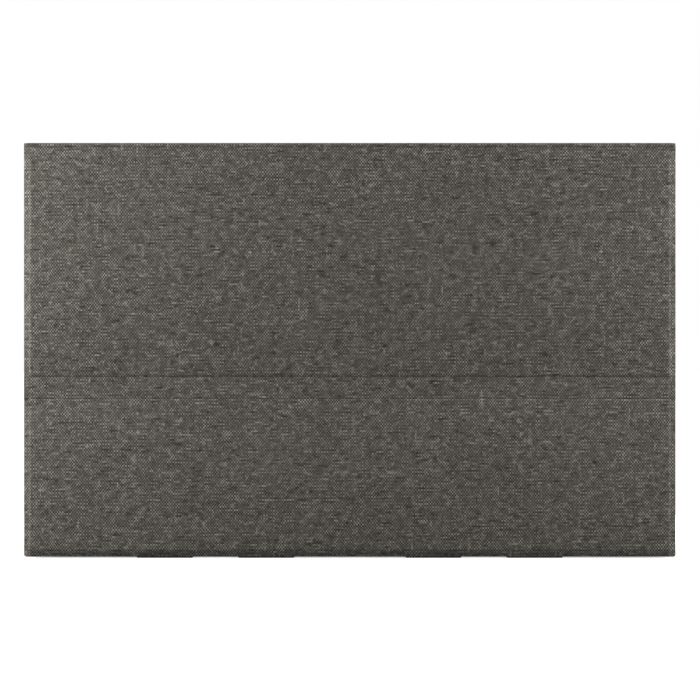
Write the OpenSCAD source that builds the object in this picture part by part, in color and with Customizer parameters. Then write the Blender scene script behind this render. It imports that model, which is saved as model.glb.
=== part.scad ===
// Portable flat monitor with a fabric-covered folding cover that wraps over its top edge.
// X runs to the viewer's right, Y away from the viewer, Z up.
// The monitor stands upright on its feet with the cover closed in front of the screen.

/* [Casing] */
// Width of the casing
body_w = 354; // [330:1:400]
// Height of the casing, without the feet
body_h = 223; // [210:1:250]
// Depth of the casing, from the bezel's face to the back
body_d = 13; // [12.6:0.1:16]
// Radius of the casing's corners, seen from the front
body_r = 4; // [2.5:0.5:8]
// Thickness of the casing's side and back walls
wall = 1.6; // [1.4:0.1:1.9]
// Thickness of the bezel's front face
bezel_t = 1; // [0.8:0.1:1.1]
// Depth of the casing's front half, up to the split line
bezel_d = 3; // [2.6:0.1:3.2]
// Width of the slanted edge along each side of the back
back_slant_w = 3.5; // [1:0.5:6]
// Depth of that slanted edge
back_slant_d = 2.6; // [1:0.1:2.6]

/* [Screen] */
// Bezel between the picture and the casing's side
bezel_side = 4.9; // [4.5:0.1:9]
// Bezel above the picture
bezel_top = 7.4; // [5.5:0.1:12]
// Chin below the picture
chin_h = 22; // [21:0.5:30]
// How far the panel reaches behind the edge of the bezel's window
panel_lap = 1.6; // [1:0.1:2]
// Thickness of the liquid crystal cell
cell_t = 0.9; // [0.7:0.1:1]
// Thickness of the optical films
films_t = 0.4; // [0.2:0.1:0.5]
// Thickness of the light guide
guide_t = 0.6; // [0.4:0.1:0.7]

/* [Feet] */
// Height of the rubber feet
foot_h = 1.8; // [1.7:0.1:2.6]
// Width of each foot
foot_w = 30.4; // [24:0.1:32]
// Depth of each foot
foot_d = 11; // [8:0.5:11]
// Distance from the middle of the casing to each inner foot's middle
foot_inner_x = 45.6; // [42:0.1:48]
// Distance from the middle of the casing to each outer foot's middle
foot_outer_x = 100.8; // [98:0.1:106]

/* [Cover] */
// Thickness of the outer fabric
skin_t = 0.55; // [0.4:0.05:0.7]
// Thickness of the inner lining
lining_t = 0.45; // [0.3:0.05:0.6]
// Thickness of the stiffening boards
board_t = 1.4; // [1.3:0.1:2]
// How far the cover reaches past the casing at each side
cover_lip = 0.5; // [0.2:0.1:2]
// How far the cover's free edge hangs below the casing
cover_drop = 1.2; // [0.6:0.1:1.4]
// Width of the glued edge of the cover outside the boards
margin_w = 3.8; // [3:0.1:6]
// Height of the lower board
lower_board_h = 81.1; // [60:0.1:100]
// Height of the soft strip between the two boards
fold_w = 14.5; // [12:0.5:18]
// Height of the soft strip between the upper board and the top of the cover
top_soft_h = 9.6; // [7:0.1:16]
// Height of the flap on the back
flap_h = 70; // [60:1:78]
// Radius of the cover's free corners
cover_r = 1.4; // [0.6:0.1:2.5]

/* [Stand] */
// Width of the stand's plate
stand_w = 240; // [226:1:260]
// Height of the stand's plate
stand_h = 82; // [66:1:88]
// Thickness of the stand's plate
stand_t = 2; // [1.6:0.1:2.1]
// Radius of the plate's upper corners
stand_r = 8; // [4:0.5:16]
// Radius of the hinge pins
pin_r = 1.5; // [1.2:0.1:1.7]
// Thickness of the rubber pads on the stand
pad_t = 0.8; // [0.6:0.1:1]

/* [Ports and keys] */
// Height of the headphone jack above the floor
jack_z = 36; // [34:1:38]
// Radius of the headphone jack's bore
jack_r = 1.8; // [1.75:0.05:1.9]
// Height of the small display port above the floor
hdmi_z = 54; // [52:1:56]
// Height of the lower data port above the floor
usb_z = 72; // [70:1:74]
// Distance between the two data ports
usb_pitch = 18; // [16:1:20]
// Height of the power button above the floor
power_z = 66; // [60:1:70]
// Height of the joystick key above the floor
joy_z = 86; // [84:1:92]
// How far the keys stand out of the casing's side
key_proud = 0.5; // [0.2:0.1:0.6]

/* [Hidden] */
$fn = 48;

// Clearances
cover_gap = 0.3;
back_gap = 0.2;
stand_gap = 0.3;
slip = 0.15;
running = 0.05;
cut = 1;
skim = 0.01;

// Cover laminates: lam_t where fabric and lining are glued together, panel_t over a board
lam_t = skin_t + lining_t;
panel_t = lam_t + board_t;
front_reach = cover_gap + panel_t;
back_reach = max(back_gap + panel_t, stand_gap + stand_t + pad_t);

// Casing planes. The whole depth, cover and stand included, is centred on Y = 0
bezel_y = (front_reach - body_d - back_reach) / 2;
back_y = bezel_y + body_d;
split_y = bezel_y + bezel_d;
inner_back_y = back_y - wall;
side_x = body_w / 2;
inner_w = body_w - 2 * wall;
body_z0 = foot_h;
body_z1 = body_z0 + body_h;
inner_z0 = body_z0 + wall;
inner_z1 = body_z1 - wall;

// Cover planes in front
lining_y = bezel_y - cover_gap - lining_t;
hem_y = lining_y - skin_t;
board_y = lining_y - board_t;
face_y = board_y - skin_t;
cover_w = body_w + 2 * cover_lip;
board_w = cover_w - 2 * margin_w;
slope_w = 1.2;

// Cover heights, from the free edge up
edge_z = body_z0 - cover_drop;
lower_board_z0 = edge_z + margin_w;
lower_board_z1 = lower_board_z0 + lower_board_h;
upper_board_z0 = lower_board_z1 + fold_w;
spine_z0 = body_z1 + cover_gap;
spine_z1 = spine_z0 + lam_t;
upper_board_z1 = spine_z1 - top_soft_h;
lower_skin_z1 = lower_board_z1 + slope_w;
upper_skin_z0 = upper_board_z0 - slope_w;
corner_leg = 1.5;
panel_z1 = spine_z0 - corner_leg;
bend_r = 0.6;

// Cover planes behind
flap_y0 = back_y + back_gap;
flap_lam_y = flap_y0 + lining_t;
flap_hem_y = flap_y0 + lam_t;
flap_y1 = flap_y0 + panel_t;
flap_z0 = spine_z1 - flap_h;
flap_board_z0 = flap_z0 + margin_w;
flap_board_z1 = spine_z1 - top_soft_h;

// Magnets of the cover, and of the casing that they pull on
magnet_t = 1.1;
magnet_slip = 0.1;
front_magnet_x = [-120, 120];
front_magnet_size = [40, 6];
front_magnet_z = lower_board_z0 + 5.5;
bezel_magnet_size = [40, 4];
bezel_magnet_z = front_magnet_z - 1;
flap_magnet_x = [-100, 0, 100];
flap_magnet_size = [50, 10];
flap_magnet_z = flap_z0 + flap_h / 2;

// Stand and its hinges. The arms pass between the inner and outer feet
hinge_depth = 4;
arm_side_gap = 0.6;
stand_y0 = back_y + stand_gap;
stand_y1 = stand_y0 + stand_t;
hinge_y = stand_y0 - hinge_depth;
stand_out = hinge_depth + stand_t;
hinge_z = stand_out + pad_t;
hinge_x = (foot_inner_x + foot_outer_x) / 2;
arm_w = foot_outer_x - foot_inner_x - foot_w - 2 * arm_side_gap;
knuckle_r = pin_r + 1.5;
plate_start = 5;
stand_z0 = hinge_z + plate_start;
stand_z1 = stand_z0 + stand_h;
bay_gap = 0.5;
bay_side_gap = 0.7;
bay_wall = 1.2;
bay_w = arm_w + 2 * bay_side_gap;
bay_y0 = hinge_y - knuckle_r - bay_gap;
bay_z1 = hinge_z + knuckle_r + bay_gap;
ear_t = 2;
ear_gap = 0.3;
ear_x = bay_w / 2 + bay_wall + ear_gap;
bracket_t = 1;
bracket_z0 = bay_z1 + bay_wall + 0.4;
bracket_z1 = bracket_z0 + 19;
bracket_half = ear_x + ear_t;
pad_w = 52;
pad_h = 7;
pad_edge = 10;

// Screen stack, from the bezel's face backwards
window_z0 = body_z0 + chin_h;
window_z1 = body_z1 - bezel_top;
window_w = body_w - 2 * bezel_side;
panel_w = window_w + 2 * panel_lap;
panel_foot = 10.2;
module_z0 = window_z0 - panel_foot;
module_z1 = window_z1 + panel_lap;
cell_y = bezel_y + bezel_t;
films_y = cell_y + cell_t;
guide_y = films_y + films_t;
reflector_y = guide_y + guide_t;
reflector_t = 0.2;
tray_y = reflector_y + reflector_t;
tray_t = 0.4;
frame_y = tray_y + tray_t + 0.1;
frame_t = 0.8;
frame_back = frame_y + frame_t;
frame_z0 = module_z0 - 0.6;

// Boards inside
pcb_t = 1;
pcb_y = frame_back + 1;
pcb_back = pcb_y + pcb_t;
main_w = 53;
main_z0 = jack_z - 12;
main_z1 = usb_z + usb_pitch + 22;
main_x1 = side_x - wall - 1.5;
main_x0 = main_x1 - main_w;
usb_long = 8.94;
usb_thick = 3.16;
hdmi_long = 11.2;
hdmi_thick = 3.2;
port_y = pcb_back + hdmi_thick / 2;
port_x1 = side_x - 0.2;
port_shell = 0.3;
jack_half = jack_r + 0.6;
jack_depth = 12;
jack_body_h = 6;
jack_nose_x = side_x - wall - back_slant_w;
button_pcb_t = 0.8;
button_x0 = -side_x + wall + 4.2;
button_w = 12;
button_z0 = power_z - 10;
button_z1 = joy_z + 12;
key_y = frame_back + button_pcb_t + 1.45;
light_z = (power_z + joy_z) / 2;
speaker_w = 34;
speaker_h = 22;
speaker_x = 140;
speaker_z = main_z1 + 3 + speaker_h / 2;

// Screws
screw_r = 1;
head_r = 1.9;
head_t = 0.7;
boss_r = 2.6;
case_screw_x = [-105, 0, 105];
case_screw_z = [stand_z0 + 48, flap_z0 + 14];
board_screw_x = [main_x0 + 4, main_x1 - 4];
board_screw_z = [main_z0 + 4, main_z1 - 4];
hinge_screw_x = [-ear_x + 3, ear_x - 3];
hinge_screw_z = [bracket_z0 + 4, bracket_z1 - 4];

/* A block between two opposite corners. */
module block(a, b) {
  translate(a) cube(b - a);
}

/* A round bar along X. */
module bar_x(r, y, z, x0, x1) {
  translate([x0, y, z]) rotate([0, 90, 0]) cylinder(r = r, h = x1 - x0);
}

/* A round bar along Y. */
module bar_y(r, x, z, y0, y1) {
  translate([x, y1, z]) rotate([90, 0, 0]) cylinder(r = r, h = y1 - y0);
}

/* A side view, drawn as Y and Z, drawn out along X. */
module along_x(x0, x1) {
  translate([x0, 0, 0]) rotate([90, 0, 90]) linear_extrude(x1 - x0) children();
}

/* A front view, drawn as X and Z with its base at z, drawn out along Y. */
module upright(y0, y1, z) {
  translate([0, y1, z]) rotate([90, 0, 0]) linear_extrude(y1 - y0) children();
}

/* A rectangle centred on X with its base on the X axis and four round corners. */
module round_rect(w, h, r) {
  translate([-w / 2 + r, 0]) square([w - 2 * r, h]);
  translate([-w / 2, r]) square([w, h - 2 * r]);
  for (x = [-w / 2 + r, w / 2 - r], y = [r, h - r])
    translate([x, y]) circle(r);
}

/* The same with only its two lower corners round. */
module hem_rect(w, h, r) {
  translate([-w / 2 + r, 0]) square([w - 2 * r, h]);
  translate([-w / 2, r]) square([w, h - r]);
  for (x = [-w / 2 + r, w / 2 - r])
    translate([x, r]) circle(r);
}

/* A bar along X with a round-ended section, long in Z. */
module stadium_x(x0, x1, y, z, long, thick) {
  r = thick / 2;
  bar_x(r, y, z - long / 2 + r, x0, x1);
  bar_x(r, y, z + long / 2 - r, x0, x1);
  block([x0, y - r, z - long / 2 + r], [x1, y + r, z + long / 2 - r]);
}

/* Flat bars side by side at height z, each size[0] wide and size[1] high, enlarged by grow. */
module bars(xs, size, z, y0, y1, grow = 0) {
  for (x = xs)
    block([x - size[0] / 2 - grow, y0, z - size[1] / 2 - grow],
      [x + size[0] / 2 + grow, y1, z + size[1] / 2 + grow]);
}

/* A screw along Y: shank from y_end to the head, a cross in the head's face at y_head. */
module screw(x, z, y_end, y_head) {
  bar_y(screw_r, x, z, y_end, y_head - head_t + skim);
  difference() {
    bar_y(head_r, x, z, y_head - head_t, y_head);
    for (a = [0, 90])
      translate([x, y_head, z]) rotate([0, a, 0]) block([-1.1, -0.35, -0.25], [1.1, cut, 0.25]);
  }
}

// Cover

/* The raised field of fabric over a board, sloping down to the hem plane all round. */
module raised(z0, z1, y_hem, y_face) {
  intersection() {
    along_x(-board_w, board_w)
      polygon([[y_hem, z0 - slope_w], [y_face, z0], [y_face, z1], [y_hem, z1 + slope_w]]);
    translate([0, 0, z0 - 2 * slope_w]) linear_extrude(z1 - z0 + 4 * slope_w)
      polygon([
        [-board_w / 2 - slope_w, y_hem], [-board_w / 2, y_face],
        [board_w / 2, y_face], [board_w / 2 + slope_w, y_hem]
      ]);
  }
}

module panel_skin(z0, z1, board_z0, board_z1, r) {
  color("#57544d") difference() {
    union() {
      upright(hem_y, lining_y, z0) panel_outline(z1 - z0, r);
      raised(board_z0, board_z1, hem_y + skim, face_y);
    }
    block([-board_w / 2, board_y, board_z0], [board_w / 2, lining_y + cut, board_z1]);
  }
}

module panel_outline(h, r) {
  if (r > 0) hem_rect(cover_w, h, r);
  else translate([-cover_w / 2, 0]) square([cover_w, h]);
}

module panel_lining(z0, z1, r) {
  color("#262626") upright(lining_y, lining_y + lining_t, z0) panel_outline(z1 - z0, r);
}

module upper_skin() {
  panel_skin(upper_skin_z0, panel_z1, upper_board_z0, upper_board_z1, 0);
}

module upper_board() {
  color("#8b8578")
    block([-board_w / 2, board_y, upper_board_z0], [board_w / 2, lining_y, upper_board_z1]);
}

module upper_lining() {
  panel_lining(upper_skin_z0, panel_z1, 0);
}

module lower_skin() {
  panel_skin(edge_z, lower_skin_z1, lower_board_z0, lower_board_z1, cover_r);
}

module lower_board() {
  color("#8b8578") difference() {
    block([-board_w / 2, board_y, lower_board_z0], [board_w / 2, lining_y, lower_board_z1]);
    bars(front_magnet_x, front_magnet_size, front_magnet_z, lining_y - magnet_t, lining_y + cut,
      magnet_slip);
  }
}

module lower_lining() {
  panel_lining(edge_z, lower_skin_z1, cover_r);
}

module lower_magnets() {
  color("#a8a9ab")
    bars(front_magnet_x, front_magnet_size, front_magnet_z, lining_y - magnet_t, lining_y);
}

module fold_strip() {
  color("#4f4c46")
    block([-cover_w / 2, hem_y, lower_skin_z1], [cover_w / 2, lining_y + lining_t, upper_skin_z0]);
}

/* Fabric and lining bent round a corner whose outer faces are at y and spine_z1. */
module corner_strip(y, toward) {
  r = bend_r + lam_t;
  centre_y = y + toward * r;
  leg_y = y + toward * (lam_t + corner_leg);
  color("#4f4c46") along_x(-cover_w / 2, cover_w / 2) {
    intersection() {
      translate([centre_y, spine_z1 - r]) difference() {
        circle(r);
        circle(bend_r);
      }
      translate([min(y, centre_y), spine_z1 - r]) square(r);
    }
    translate([min(y, y + toward * lam_t), panel_z1]) square([lam_t, spine_z1 - r - panel_z1]);
    translate([min(centre_y, leg_y), spine_z0]) square([abs(leg_y - centre_y), lam_t]);
  }
}

module front_corner_strip() {
  corner_strip(hem_y, 1);
}

module rear_corner_strip() {
  corner_strip(flap_hem_y, -1);
}

spine_y0 = hem_y + lam_t + corner_leg;
spine_y1 = flap_y0 - corner_leg;

module spine_skin() {
  color("#57544d")
    block([-cover_w / 2, spine_y0, spine_z0 + lining_t], [cover_w / 2, spine_y1, spine_z1]);
}

module spine_lining() {
  color("#262626")
    block([-cover_w / 2, spine_y0, spine_z0], [cover_w / 2, spine_y1, spine_z0 + lining_t]);
}

module flap_skin() {
  color("#57544d") difference() {
    union() {
      upright(flap_lam_y, flap_hem_y, flap_z0) hem_rect(cover_w, panel_z1 - flap_z0, cover_r);
      raised(flap_board_z0, flap_board_z1, flap_hem_y - skim, flap_y1);
    }
    block([-board_w / 2, flap_lam_y - cut, flap_board_z0],
      [board_w / 2, flap_lam_y + board_t, flap_board_z1]);
  }
}

module flap_board() {
  color("#8b8578") difference() {
    block([-board_w / 2, flap_lam_y, flap_board_z0],
      [board_w / 2, flap_lam_y + board_t, flap_board_z1]);
    bars(flap_magnet_x, flap_magnet_size, flap_magnet_z, flap_lam_y - cut, flap_lam_y + magnet_t,
      magnet_slip);
  }
}

module flap_magnets() {
  color("#a8a9ab")
    bars(flap_magnet_x, flap_magnet_size, flap_magnet_z, flap_lam_y, flap_lam_y + magnet_t);
}

module flap_lining() {
  color("#262626") upright(flap_y0, flap_lam_y, flap_z0)
    hem_rect(cover_w, panel_z1 - flap_z0, cover_r);
}

// Casing

module front_bezel() {
  color("#17181a") difference() {
    upright(bezel_y, split_y, body_z0) round_rect(body_w, body_h, body_r);
    block([-window_w / 2, bezel_y - cut, window_z0], [window_w / 2, bezel_y + bezel_d, window_z1]);
    upright(bezel_y + bezel_t, split_y + cut, inner_z0)
      round_rect(inner_w, inner_z1 - inner_z0, body_r - wall);
  }
}

/* The casing's form behind the plane y0, drawn in all round by inset. */
module shell_form(y0, inset) {
  half = side_x - inset;
  back = back_y - inset;
  intersection() {
    upright(y0, back, body_z0 + inset)
      round_rect(2 * half, body_h - 2 * inset, max(body_r - inset, 0.5));
    linear_extrude(body_z1 + cut) polygon([
      [-half, y0 - cut], [half, y0 - cut], [half, back - back_slant_d],
      [half - back_slant_w, back], [-half + back_slant_w, back], [-half, back - back_slant_d]
    ]);
  }
}

/* The room around each hinge, enlarged by grow for its walls. */
module hinge_bays(grow, below, behind) {
  for (s = [-1, 1])
    block([s * hinge_x - bay_w / 2 - grow, bay_y0 - grow, body_z0 - below],
      [s * hinge_x + bay_w / 2 + grow, back_y + behind, bay_z1 + grow]);
}

slot_count = 9;
slot_pitch = 3;
slot_w = 1.4;
slot_h = 16;

module speaker_slots() {
  for (s = [-1, 1], i = [0 : slot_count - 1])
    translate([s * speaker_x + (i - (slot_count - 1) / 2) * slot_pitch, 0, speaker_z])
      block([-slot_w / 2, inner_back_y - cut, -slot_h / 2], [slot_w / 2, back_y + cut, slot_h / 2]);
}

module port_openings() {
  x0 = side_x - wall - 3;
  for (z = [usb_z, usb_z + usb_pitch])
    stadium_x(x0, side_x + cut, port_y, z, usb_long + 2 * slip, usb_thick + 2 * slip);
  block([x0, port_y - hdmi_thick / 2 - slip, hdmi_z - hdmi_long / 2 - slip],
    [side_x + cut, port_y + hdmi_thick / 2 + slip, hdmi_z + hdmi_long / 2 + slip]);
  bar_x(jack_half + slip, port_y, jack_z, x0, side_x + cut);
}

// Side keys, from the casing's side face inwards
key_slip = 0.2;
power_long = 9;
power_thick = 2.6;
power_travel = 0.4;
dish_r = 3.2;
dish_d = 0.9;
stem_hole_r = 1.9;
light_r = 0.6;

module key_openings() {
  x1 = -side_x + wall + cut;
  stadium_x(-side_x - cut, x1, key_y, power_z, power_long + 2 * key_slip, power_thick + 2 * key_slip);
  bar_x(dish_r, key_y, joy_z, -side_x - cut, -side_x + dish_d);
  bar_x(stem_hole_r, key_y, joy_z, -side_x - cut, x1);
  bar_x(light_r + slip, key_y, light_z, -side_x - cut, x1);
}

scoop_w = 34;
scoop_h = 10;
scoop_d = 0.8;

module rear_shell() {
  color("#3c3e42") difference() {
    union() {
      difference() {
        shell_form(split_y, 0);
        shell_form(split_y - cut, wall);
      }
      intersection() {
        shell_form(frame_back + 0.1, 0);
        hinge_bays(bay_wall, 0, 0);
      }
    }
    hinge_bays(0, cut, cut);
    for (s = [-1, 1])
      bar_x(pin_r + 2 * slip, hinge_y, hinge_z, s * hinge_x - bay_w, s * hinge_x + bay_w);
    speaker_slots();
    port_openings();
    key_openings();
    for (x = case_screw_x, z = case_screw_z) {
      bar_y(screw_r + slip, x, z, inner_back_y - cut, back_y + cut);
      bar_y(head_r + slip, x, z, back_y - head_t - 0.1, back_y + cut);
    }
    block([-scoop_w / 2, back_y - scoop_d, stand_z1 - scoop_h / 2],
      [scoop_w / 2, back_y + cut, stand_z1 + scoop_h / 2]);
  }
}

module rubber_feet() {
  corner = 1;
  color("#101010") for (x = [-foot_outer_x, -foot_inner_x, foot_inner_x, foot_outer_x])
    translate([x, bezel_y + (body_d - foot_d) / 2, 0]) linear_extrude(foot_h)
      round_rect(foot_w, foot_d, corner);
}

module case_screws() {
  color("#2a2a2c") for (x = case_screw_x, z = case_screw_z)
    screw(x, z, frame_back + 2, back_y - 0.1);
}

module rear_magnets() {
  color("#a8a9ab") bars(flap_magnet_x, flap_magnet_size, flap_magnet_z, inner_back_y - magnet_t,
    inner_back_y);
}

module bezel_magnets() {
  color("#a8a9ab")
    bars(front_magnet_x, bezel_magnet_size, bezel_magnet_z, cell_y, cell_y + magnet_t);
}

// Screen module

module screen_sheet(y0, y1, inset) {
  block([-panel_w / 2 + inset, y0, module_z0 + inset], [panel_w / 2 - inset, y1, module_z1 - inset]);
}

tray_wall = 0.5;
sheet_inset = tray_wall + 0.2;

module lcd_cell() {
  color("#08090b") screen_sheet(cell_y, films_y, sheet_inset);
}

module optical_films() {
  color("#e8ebee") screen_sheet(films_y, guide_y, sheet_inset);
}

guide_z0 = module_z0 + 6;
led_pitch = 9;
led_size = [3.8, 1];
led_side = floor((panel_w / 2 - 8) / led_pitch);

module light_guide() {
  color("#dfe9f0") block([-panel_w / 2 + sheet_inset, guide_y, guide_z0],
    [panel_w / 2 - sheet_inset, reflector_y, module_z1 - sheet_inset]);
}

module led_strip() {
  z1 = guide_z0 - 0.2;
  z0 = z1 - led_size[1];
  color("#f2e6b8") {
    block([-panel_w / 2 + 2, guide_y, z0 - 2], [panel_w / 2 - 2, reflector_y, z0]);
    for (i = [-led_side : led_side])
      block([i * led_pitch - led_size[0] / 2, guide_y + 0.05, z0 - skim],
        [i * led_pitch + led_size[0] / 2, reflector_y - 0.05, z1]);
  }
}

module reflector_sheet() {
  color("#f7f7f7") screen_sheet(reflector_y, tray_y, sheet_inset);
}

module module_tray() {
  color("#b9bcc0") difference() {
    screen_sheet(cell_y + 0.2, tray_y + tray_t, 0);
    screen_sheet(cell_y - cut, tray_y, tray_wall);
  }
}

driver_half = hinge_x - bracket_half - 3;
driver_h = 9;
driver_t = 0.8;

module panel_driver_board() {
  color("#1f5a3c")
    block([-driver_half, frame_back, frame_z0], [driver_half, frame_back + driver_t, frame_z0 + driver_h]);
}

// Flat cables lie on the frame and climb onto the main board's back
cable_t = 0.3;
cable_w = 12;
cable_y = frame_back + driver_t;
climb = 4;
display_cable_z = main_z0 + 8;
button_cable_z = main_z1 - 20;

module flat_cable(x0, z, w) {
  translate([0, 0, z]) linear_extrude(w) polygon([
    [x0, cable_y], [main_x0 - climb, cable_y], [main_x0 - 1, pcb_back], [main_x0 + 7, pcb_back],
    [main_x0 + 7, pcb_back + cable_t], [main_x0 - 1, pcb_back + cable_t],
    [main_x0 - climb, cable_y + cable_t], [x0, cable_y + cable_t]
  ]);
}

module display_cable() {
  x0 = driver_half - 2 * cable_w;
  color("#b5793a") {
    flat_cable(x0, display_cable_z, cable_w);
    block([x0, cable_y, frame_z0 + 2], [x0 + cable_w, cable_y + cable_t, display_cable_z + skim]);
  }
}

module button_cable() {
  color("#b5793a") flat_cable(button_x0 + 5, button_cable_z, 6);
}

// Support frame, boards and ports

frame_window_x = [20, 96];

module support_frame() {
  color("#9da0a4") difference() {
    union() {
      block([-panel_w / 2, frame_y, frame_z0], [panel_w / 2, frame_back, inner_z1 - 2]);
      for (x = case_screw_x, z = case_screw_z)
        bar_y(boss_r, x, z, frame_back - skim, inner_back_y);
      for (x = board_screw_x, z = board_screw_z)
        bar_y(head_r, x, z, frame_back - skim, pcb_y);
    }
    for (x = case_screw_x, z = case_screw_z)
      bar_y(screw_r, x, z, frame_back + 1.5, inner_back_y + cut);
    for (x = board_screw_x, z = board_screw_z)
      bar_y(screw_r, x, z, frame_y - cut, pcb_y + cut);
    for (s = [-1, 1], x = hinge_screw_x, z = hinge_screw_z)
      bar_y(screw_r, s * hinge_x + x, z, frame_y - cut, frame_back + cut);
    for (s = [-1, 1])
      block([min(s * frame_window_x), frame_y - cut, case_screw_z[0] + 14],
        [max(s * frame_window_x), frame_back + cut, case_screw_z[1] - 12]);
  }
}

module main_board() {
  jack_gap_h = jack_body_h + 2 * slip;
  color("#1c5b3e") difference() {
    block([main_x0, pcb_y, main_z0], [main_x1, pcb_back, main_z1]);
    block([port_x1 - jack_depth - slip, pcb_y - cut, jack_z - jack_gap_h / 2],
      [main_x1 + cut, pcb_back + cut, jack_z + jack_gap_h / 2]);
    for (x = board_screw_x, z = board_screw_z)
      bar_y(screw_r, x, z, pcb_y - cut, pcb_back + cut);
  }
}

/* A chip on the main board, its corner at x, z from the board's inner lower corner. */
module chip(x, z, w, h, t) {
  translate([main_x0 + x, pcb_back, main_z0 + z]) cube([w, t, h]);
}

module main_board_chips() {
  color("#202124") {
    chip(16, 44, 14, 14, 1.1);
    chip(14, 63, 9, 9, 0.9);
    chip(28, 64, 7, 7, 0.9);
    chip(18, 12, 8, 8, 1.6);
    chip(30, 24, 5, 6, 0.8);
    chip(7.1, display_cable_z - main_z0 - 1, 4, cable_w + 2, 1.4);
    chip(7.1, button_cable_z - main_z0 - 1, 3, 8, 1.4);
    for (i = [0 : 4])
      chip(14 + i * 5, 34, 2.4, 3.6, 0.8);
  }
}

module board_screws() {
  color("#c3c5c8") for (x = board_screw_x, z = board_screw_z)
    screw(x, z, frame_y, pcb_back + head_t);
}

module usb_c_ports() {
  depth = 7.4;
  x0 = port_x1 - depth;
  floor_t = 0.8;
  for (z = [usb_z, usb_z + usb_pitch]) {
    color("#bfc1c4") difference() {
      stadium_x(x0, port_x1, port_y, z, usb_long, usb_thick);
      stadium_x(x0 + floor_t, port_x1 + cut, port_y, z, usb_long - 2 * port_shell,
        usb_thick - 2 * port_shell);
    }
    color("#1b1b1d")
      block([x0 + floor_t - skim, port_y - 0.35, z - 3.35], [port_x1 - 0.9, port_y + 0.35, z + 3.35]);
  }
}

module mini_display_port() {
  depth = 8;
  x0 = port_x1 - depth;
  floor_t = 0.8;
  half_t = hdmi_thick / 2;
  half_l = hdmi_long / 2;
  color("#bfc1c4") difference() {
    block([x0, port_y - half_t, hdmi_z - half_l], [port_x1, port_y + half_t, hdmi_z + half_l]);
    block([x0 + floor_t, port_y - half_t + port_shell, hdmi_z - half_l + port_shell],
      [port_x1 + cut, port_y + half_t - port_shell, hdmi_z + half_l - port_shell]);
  }
  color("#1b1b1d")
    block([x0 + floor_t - skim, port_y - 0.3, hdmi_z - 4.2], [port_x1 - 1.2, port_y + 0.5, hdmi_z + 4.2]);
}

jack_floor = 1;

module headphone_jack() {
  color("#19191b") difference() {
    union() {
      block([port_x1 - jack_depth, port_y - jack_half, jack_z - jack_body_h / 2],
        [jack_nose_x, port_y + jack_half, jack_z + jack_body_h / 2]);
      bar_x(jack_half, port_y, jack_z, jack_nose_x - skim, port_x1);
    }
    bar_x(jack_r, port_y, jack_z, port_x1 - jack_depth + jack_floor, port_x1 + cut);
  }
}

// Side keys

module button_board() {
  color("#1c5b3e") block([button_x0, frame_back, button_z0],
    [button_x0 + button_w, frame_back + button_pcb_t, button_z1]);
}

flange_t = 0.6;
nub_l = 0.9;
flange_x = -side_x + wall + key_slip;

module power_button() {
  color("#2a2b2e") {
    stadium_x(-side_x - key_proud, flange_x + skim, key_y, power_z, power_long, power_thick);
    stadium_x(flange_x, flange_x + flange_t, key_y, power_z, power_long + 2, power_thick + 1.6);
    stadium_x(flange_x + flange_t - skim, flange_x + flange_t + nub_l, key_y, power_z, 3, 1.6);
  }
}

module power_switch() {
  x0 = flange_x + flange_t + nub_l + power_travel + 0.1;
  color("#b8babd") {
    block([x0, key_y - 1.4, power_z - 2.6], [button_x0 + 2.5, key_y + 1.4, power_z + 2.6]);
    block([button_x0, frame_back + button_pcb_t, power_z - 2.6],
      [button_x0 + 2.5, key_y, power_z + 2.6]);
  }
}

// The joystick's cap rocks in a gimbal ring, which rocks on a plunger
joy_pivot_x = -side_x + 3.4;
joy_cap_r = 2.3;
joy_stem_r = 0.95;
gimbal_r = 1.8;
gimbal_bore = 1.3;
gimbal_half = 0.9;
joy_socket_r = 2;
joy_bore_x1 = joy_pivot_x + 2.2;
joy_body_half = 2.2;

module joy_switch() {
  color("#b8babd") difference() {
    union() {
      block([joy_pivot_x - 1.2, key_y - joy_body_half, joy_z - 3.2],
        [button_x0 - 0.05, key_y + joy_body_half, joy_z + 3.2]);
      block([joy_pivot_x - 1.2, frame_back + button_pcb_t, joy_z - 3.2],
        [button_x0 + 4.2, key_y + joy_body_half, joy_z + 3.2]);
    }
    bar_x(joy_socket_r, key_y, joy_z, joy_pivot_x - 2, joy_bore_x1);
  }
}

module joy_plunger() {
  color("#8e6f3a") bar_x(gimbal_r, key_y, joy_z, joy_pivot_x + gimbal_half + 0.3, joy_bore_x1 - 0.5);
}

module joy_gimbal() {
  floor_t = 0.4;
  color("#c7c9cc") difference() {
    bar_x(gimbal_r, key_y, joy_z, joy_pivot_x - gimbal_half, joy_pivot_x + gimbal_half);
    bar_x(gimbal_bore, key_y, joy_z, joy_pivot_x - 2, joy_pivot_x + gimbal_half - floor_t);
  }
}

module joy_cap() {
  scoop_r = 4.8;
  scoop_depth = 0.35;
  color("#2a2b2e") difference() {
    union() {
      bar_x(joy_stem_r, key_y, joy_z, -side_x, joy_pivot_x + 0.3);
      bar_x(joy_cap_r, key_y, joy_z, -side_x - key_proud, -side_x + 0.3);
    }
    translate([-side_x - key_proud - scoop_r + scoop_depth, key_y, joy_z]) sphere(r = scoop_r);
  }
}

module status_light() {
  color("#dfe6ea") {
    bar_x(light_r, key_y, light_z, -side_x + 0.1, button_x0 + 1);
    block([button_x0 + 0.6, frame_back + button_pcb_t, light_z - 1],
      [button_x0 + 2.6, key_y + light_r, light_z + 1]);
  }
}

// Speakers

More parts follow.
